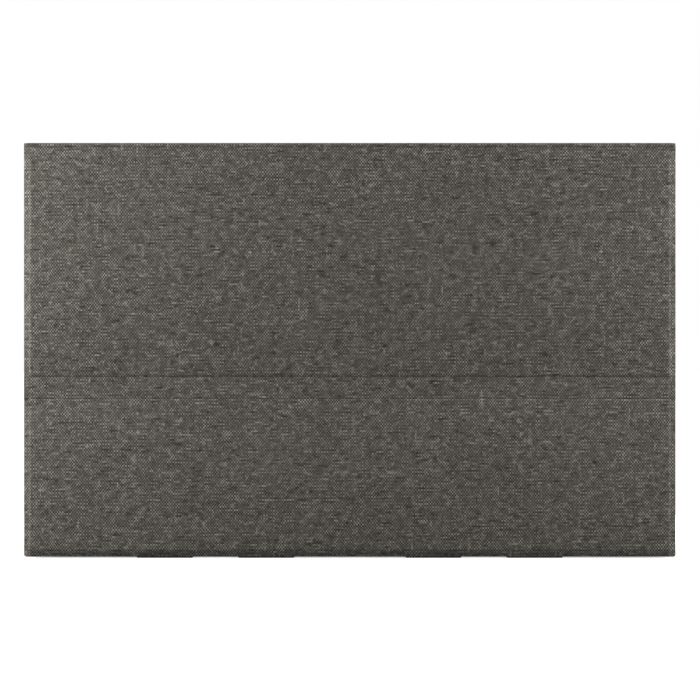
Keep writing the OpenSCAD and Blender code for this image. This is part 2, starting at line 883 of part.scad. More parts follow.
module speakers() {
  y1 = inner_back_y - 0.4;
  rim = 2;
  color("#1d1e20") for (s = [-1, 1]) translate([s * speaker_x, 0, speaker_z]) {
    difference() {
      block([-speaker_w / 2, frame_back, -speaker_h / 2], [speaker_w / 2, y1, speaker_h / 2]);
      block([-speaker_w / 2 + rim, y1 - 1, -speaker_h / 2 + rim],
        [speaker_w / 2 - rim, y1 + cut, speaker_h / 2 - rim]);
    }
    block([-speaker_w / 2 + 2 * rim, y1 - 1 - skim, -speaker_h / 2 + 2 * rim],
      [speaker_w / 2 - 2 * rim, y1 - 0.4, speaker_h / 2 - 2 * rim]);
  }
}

lead_r = 0.5;

/* Insulated leads from each speaker to the main board's upper edge. */
module speaker_leads() {
  y = pcb_y + pcb_t / 2;
  z = main_z1 + 1.4;
  join_x = main_x1 - 12;
  color("#a02622") {
    bar_x(lead_r, y, z, -speaker_x, join_x);
    for (x = [-speaker_x, join_x])
      translate([x, y, z]) sphere(r = lead_r);
    for (x = [-speaker_x, speaker_x])
      translate([x, y, z]) cylinder(r = lead_r, h = speaker_z - speaker_h / 2 - z);
    translate([join_x, y, main_z1]) cylinder(r = lead_r, h = z - main_z1);
  }
}

// Hinges and stand

module hinge_brackets() {
  color("#8f9296") for (s = [-1, 1]) translate([s * hinge_x, 0, 0]) difference() {
    union() {
      block([-bracket_half, frame_back, bracket_z0], [bracket_half, frame_back + bracket_t, bracket_z1]);
      for (x = [-bracket_half, ear_x]) {
        block([x, frame_back, bay_z1], [x + ear_t, frame_back + 4, bracket_z1]);
        block([x, frame_back, inner_z0 + 0.2], [x + ear_t, inner_back_y - 0.2, bay_z1 + skim]);
      }
    }
    bar_x(pin_r + 0.02, hinge_y, hinge_z, -bracket_half - cut, bracket_half + cut);
    for (x = hinge_screw_x, z = hinge_screw_z)
      bar_y(screw_r, x, z, frame_back - cut, frame_back + bracket_t + cut);
  }
}

module hinge_screws() {
  color("#c3c5c8") for (s = [-1, 1], x = hinge_screw_x, z = hinge_screw_z)
    screw(s * hinge_x + x, z, frame_y, frame_back + bracket_t + head_t);
}

module hinge_pins() {
  half = bracket_half + 0.5;
  color("#c9cbce") for (s = [-1, 1])
    bar_x(pin_r, hinge_y, hinge_z, s * hinge_x - half, s * hinge_x + half);
}

/* One of the stand's arms, seen from the side, with the hinge at the middle. */
module arm_section() {
  out = stand_out;
  circle(knuckle_r);
  polygon([
    [0, -knuckle_r], [0.75 * out, -knuckle_r / 2], [out, 0], [out, plate_start + skim],
    [hinge_depth, plate_start + skim], [hinge_depth, knuckle_r], [0, knuckle_r]
  ]);
}

grip_w = 26;
grip_h = 3;

module stand_plate() {
  color("#a9abad") difference() {
    union() {
      upright(stand_y0, stand_y1, stand_z0) translate([0, stand_h]) mirror([0, 1])
        hem_rect(stand_w, stand_h, stand_r);
      for (s = [-1, 1])
        translate([0, hinge_y, hinge_z]) along_x(s * hinge_x - arm_w / 2, s * hinge_x + arm_w / 2)
          arm_section();
    }
    for (s = [-1, 1])
      bar_x(pin_r + running, hinge_y, hinge_z, s * hinge_x - arm_w, s * hinge_x + arm_w);
    block([-grip_w / 2, stand_y0 - cut, stand_z1 - grip_h], [grip_w / 2, stand_y1 + cut, stand_z1 + cut]);
  }
}

module stand_pads() {
  x = stand_w / 2 - pad_edge - pad_w / 2;
  z1 = stand_z1 - pad_edge;
  color("#101010") for (s = [-1, 1])
    translate([s * x, 0, 0]) upright(stand_y1, stand_y1 + pad_t, z1 - pad_h)
      round_rect(pad_w, pad_h, 2);
}

flap_skin();
flap_board();
flap_magnets();
flap_lining();
rear_corner_strip();
spine_skin();
spine_lining();
front_corner_strip();
upper_skin();
upper_board();
upper_lining();
fold_strip();
lower_skin();
lower_board();
lower_magnets();
lower_lining();
front_bezel();
bezel_magnets();
lcd_cell();
optical_films();
light_guide();
led_strip();
reflector_sheet();
module_tray();
panel_driver_board();
display_cable();
support_frame();
main_board();
main_board_chips();
board_screws();
usb_c_ports();
mini_display_port();
headphone_jack();
button_board();
button_cable();
power_switch();
power_button();
joy_switch();
joy_plunger();
joy_gimbal();
joy_cap();
status_light();
speakers();
speaker_leads();
rear_shell();
rear_magnets();
case_screws();
rubber_feet();
hinge_brackets();
hinge_screws();
hinge_pins();
stand_plate();
stand_pads();
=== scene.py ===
# %% [markdown]
# # A portable monitor with its cover
# The object is a thin portable screen that stands on four rubber feet. A cover of woven cloth over
# stiff boards is closed over its front, passes over the top edge and ends in a flap on the back.
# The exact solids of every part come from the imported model, which is loaded once and never changed.
# This script dresses them: soft and visible parts get finer pieces, and every part gets a finish.

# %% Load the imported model
import math

import bmesh
import bpy
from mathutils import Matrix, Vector


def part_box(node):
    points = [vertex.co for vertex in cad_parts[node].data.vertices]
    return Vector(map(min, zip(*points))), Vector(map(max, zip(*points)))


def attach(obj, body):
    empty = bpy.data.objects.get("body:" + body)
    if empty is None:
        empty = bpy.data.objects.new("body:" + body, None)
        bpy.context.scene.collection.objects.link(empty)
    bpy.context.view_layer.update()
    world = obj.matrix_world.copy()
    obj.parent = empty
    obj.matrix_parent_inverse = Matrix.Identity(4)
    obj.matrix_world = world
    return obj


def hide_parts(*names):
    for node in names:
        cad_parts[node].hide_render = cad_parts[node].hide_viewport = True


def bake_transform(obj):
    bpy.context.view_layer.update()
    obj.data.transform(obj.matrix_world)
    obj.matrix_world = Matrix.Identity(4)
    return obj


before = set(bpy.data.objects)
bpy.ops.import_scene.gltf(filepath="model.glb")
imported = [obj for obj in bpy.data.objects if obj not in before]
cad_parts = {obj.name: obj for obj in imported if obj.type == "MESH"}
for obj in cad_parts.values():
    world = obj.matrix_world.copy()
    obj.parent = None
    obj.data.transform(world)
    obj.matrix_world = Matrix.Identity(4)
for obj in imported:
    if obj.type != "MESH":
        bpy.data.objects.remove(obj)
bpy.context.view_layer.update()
mm = 0.001

# %% [markdown]
# ## The camera
# The object is shown exactly from the front, with its upright edges parallel, so the camera looks
# level along +Y from the height of the cover's middle. A long lens four metres away keeps the sides
# parallel. A straight-on camera could also be made without perspective, but a real lens is kept
# so that the thin sides and the feet show as they would in a studio.

# %% Camera
view_width = 381.2 * mm
view_x, view_z = 0.12 * mm, 113.27 * mm
camera_distance = 4.0
cover_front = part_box("lower_skin")[0].y

bpy.ops.object.select_all(action="DESELECT")
bpy.ops.object.camera_add(
    location=(view_x, cover_front - camera_distance, view_z), rotation=(math.pi / 2, 0, 0))
camera = bpy.context.object
camera.data.sensor_width = 36
camera.data.lens = camera.data.sensor_width * camera_distance / view_width
camera.data.clip_end = 60
bpy.context.scene.camera = camera
print("lens:", round(camera.data.lens, 1), "mm")

# %% [markdown]
# ## Helpers for nodes
# Finishes are built from nodes. Two short helpers keep that readable: one adds a node with its
# settings and inputs, the other adds a Math node and returns its result. An input is either a
# number or the output of another node.

# %% Node helpers
def add_node(tree, kind, inputs=None, **settings):
    """Adds a node, sets its fields, fills its inputs with numbers or links, and returns it."""
    made = tree.nodes.new(kind)
    for field, value in settings.items():
        setattr(made, field, value)
    for socket, value in (inputs or {}).items():
        if isinstance(value, bpy.types.NodeSocket):
            tree.links.new(value, made.inputs[socket])
        else:
            made.inputs[socket].default_value = value
    return made


def calc(tree, operation, *values):
    """Adds a Math node on the values and returns its output."""
    return add_node(tree, "ShaderNodeMath", dict(enumerate(values)), operation=operation).outputs[0]


print("node helpers ready")

# %% [markdown]
# ## The studio
# The object stands on a plain pale floor before a white ground. The ground is white only for the
# camera and in reflections, through Light Path, so that it throws no extra light on the object.
# The floor is lit as usual near the object and so keeps its shadow, and turns into the white
# ground further away, in front, behind and at the sides. To light that bounces it is dark, so that
# it hardly brightens the cover's lower edge. A soft lamp stands on each side, close and a little
# above, as for a catalogue picture: light that grazes the cloth brings out its weave and its
# pressed margins. A weaker one behind lights the back.

# %% Ground, floor and lamps
ground_light = 0.3
beside_object = 0.19
fade_start, fade_end = 0.02, 0.35
nearest_glow = 0.35
dark_tint, pale_tint = (0.08, 0.08, 0.08, 1), (0.9, 0.9, 0.9, 1)

world = bpy.data.worlds.new("white_ground")
bpy.context.scene.world = world
world.use_nodes = True
tree = world.node_tree
tree.nodes.clear()
rays = add_node(tree, "ShaderNodeLightPath").outputs
seen = calc(tree, "MAXIMUM", rays["Is Camera Ray"],
            calc(tree, "MAXIMUM", rays["Is Glossy Ray"], rays["Is Transmission Ray"]))
ground = add_node(tree, "ShaderNodeBackground", {
    "Color": (1, 1, 1, 1), "Strength": calc(tree, "MULTIPLY_ADD", seen, 1 - ground_light, ground_light)})
add_node(tree, "ShaderNodeOutputWorld", {"Surface": ground.outputs[0]})

bpy.ops.object.select_all(action="DESELECT")
bpy.ops.mesh.primitive_plane_add(size=40, location=(0, 12, 0))
floor = bpy.context.object
floor.name = "floor"
bpy.ops.object.transform_apply(location=True, rotation=True, scale=True)

floor_finish = bpy.data.materials.new("pale_floor")
floor_finish.use_nodes = True
tree = floor_finish.node_tree
tree.nodes.clear()
rays = add_node(tree, "ShaderNodeLightPath").outputs
seen = calc(tree, "MAXIMUM", rays["Is Camera Ray"], rays["Is Glossy Ray"])
place = add_node(tree, "ShaderNodeSeparateXYZ", {
    "Vector": add_node(tree, "ShaderNodeTexCoord").outputs["Object"]}).outputs
away = calc(tree, "MAXIMUM", calc(tree, "ABSOLUTE", place["Y"]),
            calc(tree, "SUBTRACT", calc(tree, "ABSOLUTE", place["X"]), beside_object))
near_to_far = add_node(tree, "ShaderNodeMapRange", {
    "Value": away, "From Min": fade_start, "From Max": fade_end,
    "To Min": nearest_glow, "To Max": 1.0}).outputs[0]
tint = add_node(tree, "ShaderNodeMix", {0: rays["Is Camera Ray"], 6: dark_tint, 7: pale_tint},
                data_type="RGBA").outputs[2]
matt = add_node(tree, "ShaderNodeBsdfDiffuse", {"Color": tint})
glow = add_node(tree, "ShaderNodeEmission", {
    "Color": (1, 1, 1, 1), "Strength": calc(tree, "MULTIPLY", seen, near_to_far)})
both = add_node(tree, "ShaderNodeAddShader", {0: matt.outputs[0], 1: glow.outputs[0]})
add_node(tree, "ShaderNodeOutputMaterial", {"Surface": both.outputs[0]})
floor.data.materials.append(floor_finish)


lamps_aim = (0, 0, 0.12)


def lamp(name, place, width, height, power):
    """A soft rectangular lamp at a place, turned towards the object."""
    bpy.ops.object.select_all(action="DESELECT")
    turn = (Vector(lamps_aim) - Vector(place)).to_track_quat("-Z", "Y").to_euler()
    bpy.ops.object.light_add(type="AREA", location=place, rotation=turn)
    made = bpy.context.object
    made.name = name
    made.data.shape = "RECTANGLE"
    made.data.size = width
    made.data.size_y = height
    made.data.energy = power
    made.visible_camera = False


lamp("left_lamp", (-0.524, -0.188, 0.275), 0.3, 0.3, 3.6)
lamp("right_lamp", (0.539, -0.195, 0.275), 0.3, 0.3, 2.55)
lamp("back_lamp", (0.3, 0.9, 0.4), 0.8, 0.6, 8)
bpy.context.scene.view_settings.view_transform = "Standard"
print("studio ready")

# %% [markdown]
# ## Helpers for modelling
# Each piece starts as a primitive at its own size and place, and is then shaped in edit mode. The
# operators act on whatever is selected, so everything is deselected before a primitive is added,
# and faces, edges or points are picked by where they lie.

# %% Modelling helpers
def clear():
    """Leaves edit mode and deselects everything."""
    if bpy.context.object and bpy.context.object.mode == "EDIT":
        bpy.ops.object.mode_set(mode="OBJECT")
    bpy.ops.object.select_all(action="DESELECT")


def only(piece):
    """Makes a piece the only selected one."""
    clear()
    piece.select_set(True)
    bpy.context.view_layer.objects.active = piece


def start(name):
    """Names the primitive that was just added, settles its place and opens it for editing."""
    piece = bpy.context.object
    piece.name = name
    piece.data.name = name
    bpy.ops.object.transform_apply(location=True, rotation=True, scale=True)
    bpy.ops.object.mode_set(mode="EDIT")
    return piece


def start_block(name, low, high):
    """Opens a box between two corners, given in mm."""
    clear()
    middle = [(a + b) / 2 * mm for a, b in zip(low, high)]
    bpy.ops.mesh.primitive_cube_add(
        size=1, location=middle, scale=[(b - a) * mm for a, b in zip(low, high)])
    return start(name)


outwards = {"front": (0, -1, 0), "back": (0, 1, 0), "up": (0, 0, 1), "down": (0, 0, -1)}
turns = {"front": math.pi / 2, "back": -math.pi / 2, "up": 0, "down": math.pi}


def start_sheet(name, half_width, low, high, level, faces):
    """Opens a flat sheet, in mm. It faces front, back, up or down and lies at that level."""
    middle = (low + high) / 2
    upright = faces in ("front", "back")
    clear()
    bpy.ops.mesh.primitive_plane_add(
        size=1, location=Vector((0, level, middle) if upright else (0, middle, level)) * mm,
        rotation=(turns[faces], 0, 0))
    bpy.context.object.scale = (2 * half_width * mm, (high - low) * mm, 1)
    return start(name)


def pick(kind, test):
    """In edit mode, selects the points, edges or faces whose middle, in mm, passes the test."""
    bpy.ops.mesh.select_mode(type=kind)
    bpy.ops.mesh.select_all(action="DESELECT")
    mesh = bpy.context.edit_object.data
    shape = bmesh.from_edit_mesh(mesh)
    shape.normal_update()
    chosen = 0
    for part in {"VERT": shape.verts, "EDGE": shape.edges, "FACE": shape.faces}[kind]:
        points = [part.co] if kind == "VERT" else [v.co for v in part.verts]
        if test(sum(points, Vector()) / len(points) / mm, part):
            part.select_set(True)
            chosen += 1
    shape.select_flush_mode()
    bmesh.update_edit_mesh(mesh)
    return chosen


def cut_at(axis, places):
    """Cuts the open mesh right through at each place, in mm, along x, y or z."""
    normal = [0, 0, 0]
    normal["xyz".index(axis)] = 1
    for place in places:
        bpy.ops.mesh.select_all(action="SELECT")
        bpy.ops.mesh.bisect(plane_co=[n * place * mm for n in normal], plane_no=normal)


def move(x=0, y=0, z=0):
    """Moves what is selected by an amount in mm."""
    bpy.ops.transform.translate(value=(x * mm, y * mm, z * mm))


def draw_out(x=0, y=0, z=0):
    """Extrudes what is selected and moves the new part by an amount in mm."""
    bpy.ops.mesh.extrude_region_move(TRANSFORM_OT_translate={"value": (x * mm, y * mm, z * mm)})


def bevel(width, steps=3, what="EDGES"):
    """Rounds what is selected over a width in mm."""
    bpy.ops.mesh.bevel(offset=width * mm, segments=steps, affect=what, clamp_overlap=True)


def angle_of(edge):
    """The angle between an edge's two faces, or 0 at a border."""
    return edge.calc_face_angle(0) if len(edge.link_faces) == 2 else 0


def close_up(piece, angle=40):
    """Leaves edit mode and shades the piece smooth, up to an angle."""
    bpy.ops.object.mode_set(mode="OBJECT")
    only(piece)
    bpy.ops.object.shade_smooth_by_angle(angle=math.radians(angle))
    return piece


def use(piece, kind, **settings):
    """Adds a modifier to a piece and applies it."""
    only(piece)
    made = piece.modifiers.new(kind.lower(), kind)
    for field, value in settings.items():
        setattr(made, field, value)
    bpy.ops.object.modifier_apply(modifier=made.name)


def tell(piece):
    """Prints a piece's size in mm and its number of faces."""
    points = [v.co / mm for v in piece.data.vertices]
    low = [round(min(p[i] for p in points), 2) for i in range(3)]
    high = [round(max(p[i] for p in points), 2) for i in range(3)]
    print(piece.name, low, high, len(piece.data.polygons), "faces")


print("modelling helpers ready")

# %% [markdown]
# ## The woven cloth
# The cover's outside is a heathered plain weave: grey-brown threads that pass over and under each
# other, with paler and darker stretches of yarn that show as short streaks, mostly across the
# cover. A picture of cloth would blur up close, so the weave is worked out thread by thread. The
# cloth's own map gives each point's place across and along the cloth in metres, so that the
# threads run without a break from the front over the top edge to the flap.
#
# Each thread has a number. Where the two numbers add up to an even value, the cross thread lies on
# top, and otherwise the long thread does. Noise that is stretched along a thread, and that differs
# from thread to thread, gives the streaks. The cross threads are spun paler than the long ones, more
# so in some patches, which gives the salt-and-pepper grain, and in other patches every second cross
# thread is paler. Slow noise on both numbers lets the rows wander a little. The height of a thread
# falls to its sides and where it dives, and that height gives the bump and painted shade, which
# darkens the gaps. On the front, along the crests where the cloth bends over the boards' left and
# right edges, a painted highlight makes it a little paler.

# %% Woven cloth finish
thread_across = 0.76 * mm
thread_along = 0.94 * mm


def streaks(tree, thread, run, length, seed):
    """Noise along a thread: it varies over a length in metres, and from thread to thread."""
    place = add_node(tree, "ShaderNodeCombineXYZ", {
        "X": calc(tree, "MULTIPLY", run, 1 / length), "Y": calc(tree, "MULTIPLY", thread, 5.173)})
    return add_node(tree, "ShaderNodeTexNoise", {
        "Vector": place.outputs[0], "W": seed, "Scale": 1.0, "Detail": 1.5, "Roughness": 0.6},
        noise_dimensions="4D").outputs["Fac"]


def range_of(tree, value, low, high, new_low, new_high):
    """Stretches a value from one range to another and holds it there."""
    return add_node(tree, "ShaderNodeMapRange", {
        "Value": value, "From Min": low, "From Max": high, "To Min": new_low, "To Max": new_high}).outputs[0]


def ramp(tree, value, stops):
    """Turns a value into a colour through (place, colour) stops."""
    made = add_node(tree, "ShaderNodeValToRGB", {"Fac": value})
    band = made.color_ramp
    while len(band.elements) < len(stops):
        band.elements.new(0.5)
    for element, (place, colour) in zip(band.elements, stops):
        element.position = place
        element.color = (*colour, 1)
    return made.outputs["Color"]


cloth = bpy.data.materials.new("woven_cloth")
cloth.use_nodes = True
tree = cloth.node_tree
tree.nodes.clear()
here = add_node(tree, "ShaderNodeUVMap", uv_map="cloth").outputs[0]
place = add_node(tree, "ShaderNodeSeparateXYZ", {"Vector": here}).outputs


def patches(tree, scale, low, high, new_low, new_high, seed):
    """Soft patches over the cloth, scale of them a metre, that run from new_low to new_high."""
    noise = add_node(tree, "ShaderNodeTexNoise", {
        "Vector": here, "W": seed, "Scale": scale, "Detail": 2.0}, noise_dimensions="4D").outputs["Fac"]
    return range_of(tree, noise, low, high, new_low, new_high)


count_x = calc(tree, "ADD", calc(tree, "MULTIPLY_ADD", place["X"], 1 / thread_across, 1000),
               patches(tree, 40.0, 0.0, 1.0, -1.6, 1.6, 12.5))
count_y = calc(tree, "ADD", calc(tree, "MULTIPLY_ADD", place["Y"], 1 / thread_along, 1000),
               patches(tree, 40.0, 0.0, 1.0, -1.2, 1.2, 15.5))
long_thread = calc(tree, "FLOOR", count_x)
cross_thread = calc(tree, "FLOOR", count_y)
long_on_top = calc(tree, "MODULO", calc(tree, "ADD", long_thread, cross_thread), 2)

cross_tone = streaks(tree, cross_thread, place["X"], 2.4 * mm, 1.3)
long_tone = streaks(tree, long_thread, place["Y"], 3.2 * mm, 7.9)
yarn = add_node(tree, "ShaderNodeMix", {0: long_on_top, 2: cross_tone, 3: long_tone}).outputs[0]
yarn = calc(tree, "MULTIPLY_ADD", yarn, 0.85, 0.045)

salt_and_pepper = calc(tree, "MULTIPLY", calc(tree, "SUBTRACT", 0.5, long_on_top),
                       patches(tree, 230.0, 0.36, 0.62, 0.14, 0.60, 2.2))
paired = calc(tree, "MULTIPLY", calc(tree, "SUBTRACT", calc(tree, "MODULO", cross_thread, 2), 0.5),
              patches(tree, 200.0, 0.48, 0.66, 0.0, 0.3, 8.8))
pale_cross = range_of(tree, streaks(tree, cross_thread, place["X"], 5 * mm, 3.1), 0.58, 0.68, 0, 0.28)
dark_cross = range_of(tree, streaks(tree, cross_thread, place["X"], 6 * mm, 4.7), 0.58, 0.70, 0, -0.24)
pale_long = range_of(tree, streaks(tree, long_thread, place["Y"], 7 * mm, 5.5), 0.65, 0.72, 0, 0.3)
tone = calc(tree, "ADD", calc(tree, "ADD", yarn, pale_cross), calc(tree, "ADD", dark_cross, pale_long))
tone = calc(tree, "ADD", tone, calc(tree, "ADD", salt_and_pepper, paired))
tone = calc(tree, "ADD", tone, patches(tree, 28.0, 0.0, 1.0, -0.04, 0.04, 6.1))
# Painted highlight: on the front, the cloth is painted paler along the crests over the boards' left and right
# edges.
crest_place, board_top = 174.2 * mm, 217 * mm
crest_highlight_start, crest_highlight_end, crest_highlight_tone = 0.2 * mm, 1.1 * mm, 0.085
from_crest = calc(tree, "ABSOLUTE", calc(tree, "SUBTRACT", calc(tree, "ABSOLUTE", place["X"]), crest_place))
painted_crest_highlight = calc(tree, "MULTIPLY", range_of(tree, from_crest, crest_highlight_start, crest_highlight_end, crest_highlight_tone, 0.0),
              calc(tree, "LESS_THAN", place["Y"], board_top))
tone = calc(tree, "ADD", tone, painted_crest_highlight)

round_x = calc(tree, "SINE", calc(tree, "MULTIPLY", calc(tree, "FRACT", count_x), math.pi))
round_y = calc(tree, "SINE", calc(tree, "MULTIPLY", calc(tree, "FRACT", count_y), math.pi))


def thread_height(across, along):
    """A thread is round across its own width and falls to half its height where it dives."""
    return calc(tree, "MULTIPLY", calc(tree, "POWER", across, 0.6),
                calc(tree, "MULTIPLY_ADD", along, 0.5, 0.5))


cross_height = thread_height(round_y, round_x)
long_height = thread_height(round_x, round_y)
height = add_node(tree, "ShaderNodeMix", {0: long_on_top, 2: cross_height, 3: long_height}).outputs[0]
# Painted shade: the colour is darker where a thread falls to its sides and dives, in the gaps between threads.
tone = calc(tree, "MULTIPLY_ADD", height, 0.12, calc(tree, "SUBTRACT", tone, 0.07))

colour = ramp(tree, tone, [
    (0.22, (0.030, 0.0275, 0.0223)), (0.42, (0.076, 0.070, 0.0578)), (0.55, (0.118, 0.110, 0.0935)),
    (0.70, (0.186, 0.175, 0.153)), (0.90, (0.32, 0.305, 0.274))])
bump = add_node(tree, "ShaderNodeBump", {"Height": height, "Strength": 0.5, "Distance": 0.14 * mm})
skin = add_node(tree, "ShaderNodeBsdfPrincipled", {
    "Base Color": colour, "Normal": bump.outputs[0], "Roughness": 0.85, "Specular IOR Level": 0.18,
    "Sheen Weight": 0.04, "Sheen Roughness": 0.5})
add_node(tree, "ShaderNodeOutputMaterial", {"Surface": skin.outputs[0]})
print("woven cloth:", len(tree.nodes), "nodes")

# %% [markdown]
# ## The cloth's own map
# The cloth starts at the free edge at the bottom of the front, climbs the front, rounds the top
# edge and comes down the back. The map stores, for every corner of every face, how far across the
# cover it lies and how far along that path. A general unwrap would cut the cloth into islands and
# break the threads, while this path is known exactly.

# %% Map along the cloth
bend_z = 224.5
bend_radius = 1.6
front_bend_y = -6.4
rear_bend_y = 5.9
quarter = bend_radius * math.pi / 2


def along_cloth(y, z):
    """How far along the cloth a point lies, in mm, from the bottom of the front."""
    if z <= bend_z:
        return z if y < 0 else bend_z + 2 * quarter + rear_bend_y - front_bend_y + bend_z - z
    if y < front_bend_y:
        return bend_z + bend_radius * math.atan2(z - bend_z, front_bend_y - y)
    if y > rear_bend_y:
        turned = math.atan2(y - rear_bend_y, z - bend_z)
        return bend_z + quarter + rear_bend_y - front_bend_y + bend_radius * turned
    return bend_z + quarter + y - front_bend_y


def map_cloth(piece):
    """Gives a piece the map that its weave follows."""
    for old in list(piece.data.uv_layers):
        piece.data.uv_layers.remove(old)
    layer = piece.data.uv_layers.new(name="cloth")
    for loop in piece.data.loops:
        x, y, z = piece.data.vertices[loop.vertex_index].co / mm
        layer.data[loop.index].uv = (x * mm, along_cloth(y, z) * mm)


print("cloth length:", round(along_cloth(8, 156.1), 1), "mm")

# %% [markdown]
# ## Cloth over a board
# Each stiff part of the cover is cloth that is laid over a board and pressed down around it. What
# shows is a raised field, a narrow knee where the cloth begins to turn down, and a margin that
# falls to the edge, where the cloth is turned under. Where no board lies, at the fold and over the
# top edge, the cloth stays nearly level to its edge. The free end has one long slope. A block could be
# carved to this shape, but pressing a flat sheet is closer to how it is made: the sheet is cut into
# bands, the bands' lines are raised or lowered, the creases are rounded, the rim is hemmed, and the
# sheet then gets its thickness.

# %% Pressing and hemming
knee_width, crest_width, end_width = 2.6, 3.6, 4.2
knee_drop, margin_drop, end_drop, edge_drop = 0.2, 1.6, 0.9, 0.25
around_board = 0.5
crease_radius = 0.35
corner_radius = 1.4
hem_width, hem_radius = 1.5, 0.3
cloth_thick = 0.12


def hem(out, half_width, is_rim, seat, z_centre=0, squeeze_z=1):
    """Turns the sheet's rim in to its seat on the lining, and folds it under there."""
    pick("EDGE", lambda p, e: e.is_boundary and all(is_rim(v.co / mm) for v in e.verts))
    draw_out()
    bpy.ops.transform.resize(
        value=[1 - abs(n) for n in out], center_override=[abs(n) * seat * mm for n in out])
    draw_out()
    bpy.ops.transform.resize(
        value=(1 - hem_width / half_width, 1, squeeze_z), center_override=(0, 0, z_centre * mm))
    pick("EDGE", lambda p, e: angle_of(e) > 0.5 and all(is_rim(v.co / mm) for v in e.verts))
    bevel(hem_radius, 3)


def press_over(name, z_low, z_high, level, faces, field, board, seat, z_free=None):
    """Presses cloth over a board.

    level is where the cloth lies without a board, field where it lies on the board, and board the
    board's half width and its lowest and highest z. z_free is the end with a free, hemmed edge."""
    out = outwards[faces]
    board_x, board_low, board_high = board
    crest_x, knee_x = cover_half - crest_width, cover_half - knee_width
    piece = start_sheet(name, cover_half, z_low, z_high, level, faces)
    crest_low, crest_high = board_low - around_board, board_high + around_board
    if z_free is not None:
        pick("VERT", lambda p, v: abs(p.z - z_free) < 0.01)
        bevel(corner_radius, 5, "VERTICES")
        crest_low = z_free + end_width
    cut_at("x", [-knee_x, -crest_x, crest_x, knee_x])
    cut_at("z", [crest_low, crest_high])

    def is_rim(point):
        x, z = abs(point.x), point.z
        from_end = corner_radius if z_free is None else abs(z - z_free)
        rounded = (from_end < corner_radius + 0.01 and x > cover_half - corner_radius and math.hypot(
            x - cover_half + corner_radius, from_end - corner_radius) > corner_radius - 0.05)
        return abs(x - cover_half) < 0.02 or from_end < 0.02 or rounded

    def beside_board(point):
        return crest_low - 0.01 < point.z < crest_high + 0.01

    def at_end(point):
        return z_free is not None and point.z < crest_low - 0.01

    pick("VERT", lambda p, v: abs(p.x) < crest_x + 0.01 and beside_board(p))
    move(y=field - level)
    pick("VERT", lambda p, v: beside_board(p) and abs(abs(p.x) - knee_x) < 0.01)
    move(y=-out[1] * knee_drop)
    pick("VERT", lambda p, v: is_rim(p) and beside_board(p))
    move(y=-out[1] * margin_drop)
    pick("VERT", lambda p, v: is_rim(p) and at_end(p))
    move(y=-out[1] * end_drop)
    pick("VERT", lambda p, v: is_rim(p) and not beside_board(p) and not at_end(p))
    move(y=-out[1] * edge_drop)
    pick("EDGE", lambda p, e: angle_of(e) > 0.15)
    bevel(crease_radius, 3)
    z_join = z_low if z_free == z_high else z_high
    squeeze = 1 - hem_width / (z_high - z_low) if z_free is not None else 1
    hem(out, cover_half, is_rim, seat, z_join, squeeze)
    close_up(piece)
    use(piece, "SOLIDIFY", thickness=cloth_thick * mm, offset=-1)
    return piece


print("pressing helpers ready")

# %% [markdown]
# ## The front of the cover
# The front has two boards. The tall upper one reaches nearly to the top edge, the lower one to the
# free edge at the bottom, and a strip without a board between them lets the cover fold. The
# boards' places are read from the imported solids, so the cloth lies exactly on them.

# %% Upper and lower panels
def board_of(node):
    """A board's half width and its lowest and highest z, in mm."""
    low, high = (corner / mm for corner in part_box(node))
    return high.x, low.z, high.z


def z_of(node):
    """A node's lowest and highest z, in mm."""
    low, high = (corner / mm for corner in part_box(node))
    return low.z, high.z


def dress(piece, node, body=None):
    """Gives a piece of cloth its map and finish, and lets it stand for its node."""
    map_cloth(piece)
    piece.data.materials.append(cloth)
    if body:
        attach(piece, body)
    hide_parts(node)
    tell(piece)


cover_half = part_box("lower_skin")[1].x / mm
front_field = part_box("lower_skin")[0].y / mm
front_level = -8.9
front_seat = -7.0
upper_low, upper_high = z_of("upper_skin")
lower_low, lower_high = z_of("lower_skin")

upper_cloth = press_over("upper_cover_fabric", upper_low, upper_high, front_level, "front", front_field,
                         board_of("upper_board"), front_seat)
dress(upper_cloth, "upper_skin", "upper_panel")
lower_cloth = press_over("lower_cover_fabric", lower_low, lower_high, front_level, "front", front_field,
                         board_of("lower_board"), front_seat, z_free=lower_low)
dress(lower_cloth, "lower_skin", "lower_panel")
